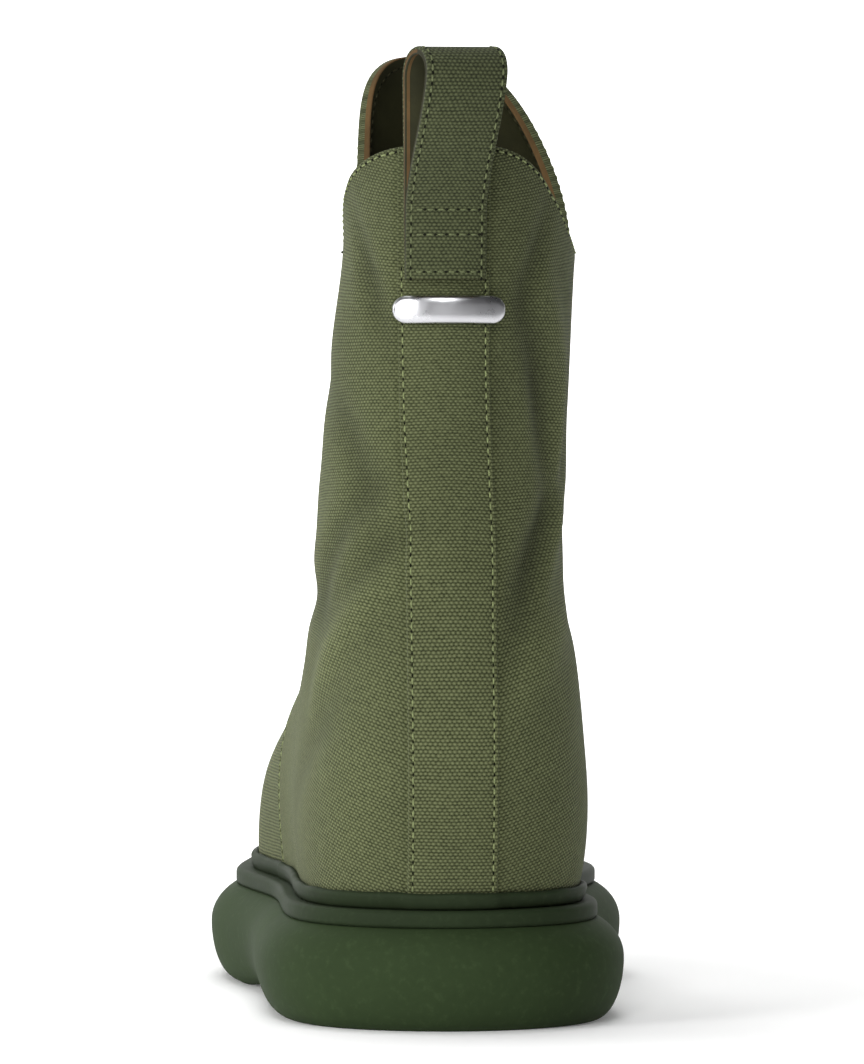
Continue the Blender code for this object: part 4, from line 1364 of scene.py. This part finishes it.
def stitch_meshes(name, lines, thread, hole_shade):
    """Threads and needle holes for several lines, each (points, normals), as one mesh of two materials. The
    holes are flat dark discs on the cloth: painted shade, not sunk.
    """
    parts = [resample(points, normals, STITCH_PITCH) for points, normals in lines]
    centres, tangents, normals = (np.concatenate(group) for group in zip(*parts))
    sides = unit(np.cross(tangents, normals))
    along = np.linspace(-1, 1, THREAD_RINGS)
    arch = np.sqrt(np.clip(1 - along**2, 0, 1))
    ring = np.radians(np.arange(THREAD_SIDES) * (360 / THREAD_SIDES))
    local = []
    for a, h in zip(along, arch):
        width = THREAD_RADIUS * (0.35 + 0.65 * h**0.5)
        for r in ring:
            rise = (h - THREAD_SUNK) * THREAD_ARCH + width * math.sin(r)
            local.append((a * STITCH_LENGTH / 2, width * math.cos(r), rise))
    thread_points, thread_faces = np.array(local), quads_of(len(along), len(ring), True)
    angle = np.radians(np.arange(HOLE_SIDES) * (360 / HOLE_SIDES))
    rim_x = HOLE_RADIUS * 1.25 * np.cos(angle)
    rim_y = HOLE_RADIUS * 0.9 * np.sin(angle)
    rim = np.column_stack([rim_x, rim_y, np.full(HOLE_SIDES, -0.02 * MM)])
    middle = rim * np.array([0.6, 0.6, 0]) + np.array([0, 0, 0.07 * MM])
    hole_points = np.concatenate([rim, middle]) + np.array([STITCH_PITCH / 2, 0, 0])
    hole_faces = quads_of(2, HOLE_SIDES, True)

    def place(local_points):
        frame = (
            local_points[None, :, 0:1] * tangents[:, None, :]
            + local_points[None, :, 1:2] * sides[:, None, :]
            + local_points[None, :, 2:3] * normals[:, None, :]
        )
        return (centres[:, None, :] + frame).reshape(-1, 3)

    def repeat(local_faces, size, start):
        return (np.arange(len(centres)) * size)[:, None, None] + local_faces[None] + start

    threads, holes = place(thread_points), place(hole_points)
    cap = np.arange(HOLE_SIDES, 2 * HOLE_SIDES)
    faces = repeat(thread_faces, len(thread_points), 0).reshape(-1, 4).tolist()
    count = len(faces)
    faces += repeat(hole_faces, len(hole_points), len(threads)).reshape(-1, 4).tolist()
    faces += (np.arange(len(centres))[:, None] * len(hole_points) + cap + len(threads)).tolist()
    kinds = np.zeros(len(faces), int)
    kinds[count:] = 1
    return new_mesh(name, np.concatenate([threads, holes]), faces, [thread, hole_shade], kinds)


def surface_line(turns, levels, lift=0.0, inner=False):
    """A line on the cloth with its outward normals, or on the lining with normals into the boot."""
    points = cloth(turns, levels, lift, inner)
    normals = last_normal(turns, levels)
    return points, -normals if inner else normals


def cloth_lines():
    """The stitch lines that lie on the outside of the upper."""
    lines = []
    foot = FEATHER + RAND_HEIGHT
    inward = {"strip_lateral": 1, "strip_medial": -1, "seam_medial": -1, "seam_lateral": 1}
    for which, side in inward.items():
        on_strip = which.startswith("strip")
        start = level_at_height(np.array([0.0 if on_strip else 0.25]), np.array([foot]))[0]
        if on_strip:
            end = level_at_height(np.array([0.0]), np.array([FEATHER + LOOP_FOOT_RISE + 3 * MM]))[0]
        else:
            end = TOP_RING
        levels = np.linspace(start, end, 400)
        turns = turn_of_arc(edge_arc(which, levels) + side * STITCH_INSET, levels)
        if not on_strip:
            keep = levels < collar_level(turns % 1.0) - 0.12
            levels, turns = levels[keep], turns[keep]
        lines.append(surface_line(turns, levels, 0.02 * MM))
    turns = np.linspace(0, 1, 900)
    top = collar_level(turns)
    rate = up_rate(turns, top)
    lines.append(surface_line(turns, top - COLLAR_INSET / rate, 0.0))
    return lines


def lining_line():
    """The stitch line on the lining, laid over the rim's padding."""
    turns = np.linspace(0, 1, 900)
    top = collar_level(turns)
    rate = up_rate(turns, top)
    padding = RIM_PADDING * bell(LINING_INSET / RIM_PADDING_REACH)
    return surface_line(turns, top - LINING_INSET / rate, -padding, inner=True)


def strap_lines():
    """The loop's two edge lines, on its outer face, and the rows that sew its end down."""
    path, normal = loop_path()
    half_t = STRAP_THICK / 2
    lines = []
    for side in (-1, 1):
        across = np.full((len(path), 1), side * (STRAP_WIDTH / 2 - STITCH_INSET))
        points = strap_surface(path, normal, across, np.full_like(across, half_t - 0.05 * MM))[:, 0]
        above = strap_surface(path, normal, across, np.full_like(across, half_t + 0.5 * MM))[:, 0]
        lines.append((points, unit(above - points)))
    xs = np.linspace(-STRAP_WIDTH / 2 + 2.2 * MM, STRAP_WIDTH / 2 - 2.2 * MM, 40)
    for up in LOOP_ROWS:
        back = np.full_like(xs, 2 * STRAP_THICK)
        points = strap_point(back - 0.05 * MM, np.full_like(xs, up), xs)
        above = strap_point(back + 0.5 * MM, np.full_like(xs, up), xs)
        lines.append((points, unit(above - points)))
    return lines


def make_bar(metal):
    """The blank bar: a bowed, pillowed face with round ends."""
    middle = FEATHER + LOOP_FOOT_RISE - BAR_DROP
    centre = LOOP_SHIFT / 2
    spread = np.sin(np.linspace(-math.pi / 2, math.pi / 2, BAR_COLUMNS))
    across = spread * (BAR_WIDTH / 2 - 0.02 * MM)
    past = np.clip(np.abs(across) - (BAR_WIDTH / 2 - BAR_HEIGHT / 2), 0, None)
    half = np.sqrt(np.clip((BAR_HEIGHT / 2) ** 2 - past**2, 1e-10, None))
    angle = np.radians(np.linspace(-90, 90, BAR_ROWS))
    up_power, back_power = BAR_FACE_POWERS
    up_share = np.sign(np.sin(angle)) * np.abs(np.sin(angle)) ** up_power
    back_share = np.abs(np.cos(angle)) ** back_power
    heights = (middle - BAR_HEIGHT / 2, middle, middle + BAR_HEIGHT / 2)
    seats = [read_back(across + centre, np.full_like(across, z)) for z in heights]
    seat = np.min(seats, axis=0) - BAR_GAP
    x = np.broadcast_to((across + centre)[:, None], (len(across), len(angle)))
    reach = BAR_THICK * np.clip(half / (BAR_HEIGHT / 2) * BAR_END_FULLNESS, 0, 1)[:, None] ** 0.5
    y = seat[:, None] - back_share[None, :] * reach
    z = middle + up_share[None, :] * half[:, None]
    grid = PLACE + np.stack([x, y, z], axis=-1)
    return new_mesh("bar_plate", grid, quads_of(len(across), len(angle), False), [metal])


def make_stage():
    """A pale floor that sweeps up behind the boot and glows more the further it lies from it."""
    angle = np.linspace(0, math.pi / 2, 24)
    bend_y = STAGE_DEPTH + STAGE_BEND * np.sin(angle)
    ys = np.concatenate([[-STAGE_FRONT], bend_y, [STAGE_DEPTH + STAGE_BEND]])
    zs = np.concatenate([[0.0], STAGE_BEND * (1 - np.cos(angle)), [STAGE_HEIGHT]])
    rows = np.array([[(-STAGE_HALF_WIDTH, y, z), (STAGE_HALF_WIDTH, y, z)] for y, z in zip(ys, zs)])
    s = Shader("studio_white")
    parts = s.node("ShaderNodeSeparateXYZ")
    place = s.place()
    s.join(place, parts.inputs[0])
    away = s.node("ShaderNodeVectorMath", operation="LENGTH")
    s.join(place, away.inputs[0])
    near = s.spread(away.outputs["Value"], *FLOOR_REACH, *FLOOR_GLOW)
    glow = s.math("MAXIMUM", near, s.spread(parts.outputs["Y"], *BACKDROP_REACH, 0.0, BACKDROP_GLOW))
    s.set(
        Base_Color=FLOOR_WHITE,
        Roughness=0.9,
        Specular_IOR_Level=0.1,
        Emission_Color=(1.0, 1.0, 1.0, 1.0),
        Emission_Strength=glow,
    )
    floor = new_mesh("studio_floor", rows, quads_of(len(ys), 2, False)[:, ::-1], [s.material])


def turn_towards(obj, target):
    """Turns a lamp or camera, which look along their own -Z, to face a point."""
    obj.rotation_euler = (Vector(target) - obj.location).to_track_quat("-Z", "Y").to_euler()


def add_light(name, at, size, power):
    data = bpy.data.lights.new(name, "AREA")
    data.shape = "DISK"
    data.size = size
    data.energy = power
    lamp = bpy.data.objects.new(name, data)
    lamp.location = at
    turn_towards(lamp, LIGHTS_AIM)
    bpy.context.scene.collection.objects.link(lamp)


def light_studio():
    world = bpy.data.worlds.new("studio")
    world.use_nodes = True
    surround = world.node_tree.nodes["Background"]
    surround.inputs["Color"].default_value = (1.0, 1.0, 1.0, 1.0)
    surround.inputs["Strength"].default_value = SURROUND
    bpy.context.scene.world = world
    for light in LIGHTS:
        add_light(*light)


def aim_camera():
    data = bpy.data.cameras.new("camera")
    data.lens = CAMERA_LENS
    data.sensor_width = SENSOR
    data.clip_start = 0.05
    data.clip_end = 50.0
    camera = bpy.data.objects.new("camera", data)
    camera.location = CAMERA_AT
    turn_towards(camera, CAMERA_TARGET)
    bpy.context.scene.collection.objects.link(camera)
    bpy.context.scene.camera = camera


def set_view():
    """Plain display of the light, with no film curve."""
    view = bpy.context.scene.view_settings
    view.view_transform = "Standard"
    view.look = "None"


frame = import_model()
PLACE = find_place()
BACK = back_table()

CANVAS = canvas_material("canvas_cloth", colour(107, 113, 78), colour(46, 50, 29))
# The strap's canvas is the cloth's canvas painted darker, as painted shade on the loop
SHADED_STRAP_CANVAS = canvas_material("strap_cloth_painted_shade", colour(90, 96, 66), colour(38, 42, 24))
TAN = leather_material("raw_leather_edge", colour(98, 76, 47), 0.85, 0.08)
LINING = leather_material("lining_leather", colour(46, 46, 26), 0.7, 0.04)
OUTSOLE = rubber_material("outsole_finish", colour(50, 64, 39), 0.72)
LEDGE = rubber_material("ledge_finish", colour(43, 54, 35), 0.62)
RAND = rubber_material("rand_finish", colour(42, 52, 34), 0.6)
THREAD = thread_material("seam_thread", colour(146, 156, 108))
# The strap's thread is the seam thread painted darker, as painted shade on the loop
SHADED_STRAP_THREAD = thread_material("strap_thread_painted_shade", colour(112, 120, 84))
PALE_THREAD = thread_material("lining_thread", colour(56, 55, 33))
# Needle holes are dark discs: painted shade where the thread goes into the cloth
HOLE_SHADE = leather_material("needle_hole_painted_shade", colour(24, 26, 15), 0.95, 0.02)
METAL = metal_material("polished_metal", (0.56, 0.56, 0.58, 1.0), 0.28)

dress(make_upper(CANVAS, TAN, LINING), "canvas", "upper")
dress(make_outsole(OUTSOLE), "outsole_rubber", "outsole")
dress(make_midsole(LEDGE), "midsole_rubber", "midsole")
dress(make_rand(RAND), "rand_rubber", "rand")
dress(make_pull_loop(SHADED_STRAP_CANVAS, TAN, LINING), "canvas", "pull_loop")
dress(make_strap_end(TAN), "canvas")
dress(make_bar(METAL), "polished_steel", "back_bar")
dress(stitch_meshes("cloth_stitches", cloth_lines(), THREAD, HOLE_SHADE), "canvas")
dress(stitch_meshes("strap_stitches", strap_lines(), SHADED_STRAP_THREAD, HOLE_SHADE), "canvas")
dress(stitch_meshes("lining_stitches", [lining_line()], PALE_THREAD, HOLE_SHADE), "canvas")
insole = frame["nodes"]["insole"]
insole.data.materials.clear()
insole.data.materials.append(LINING)

make_stage()
light_studio()
aim_camera()
set_view()
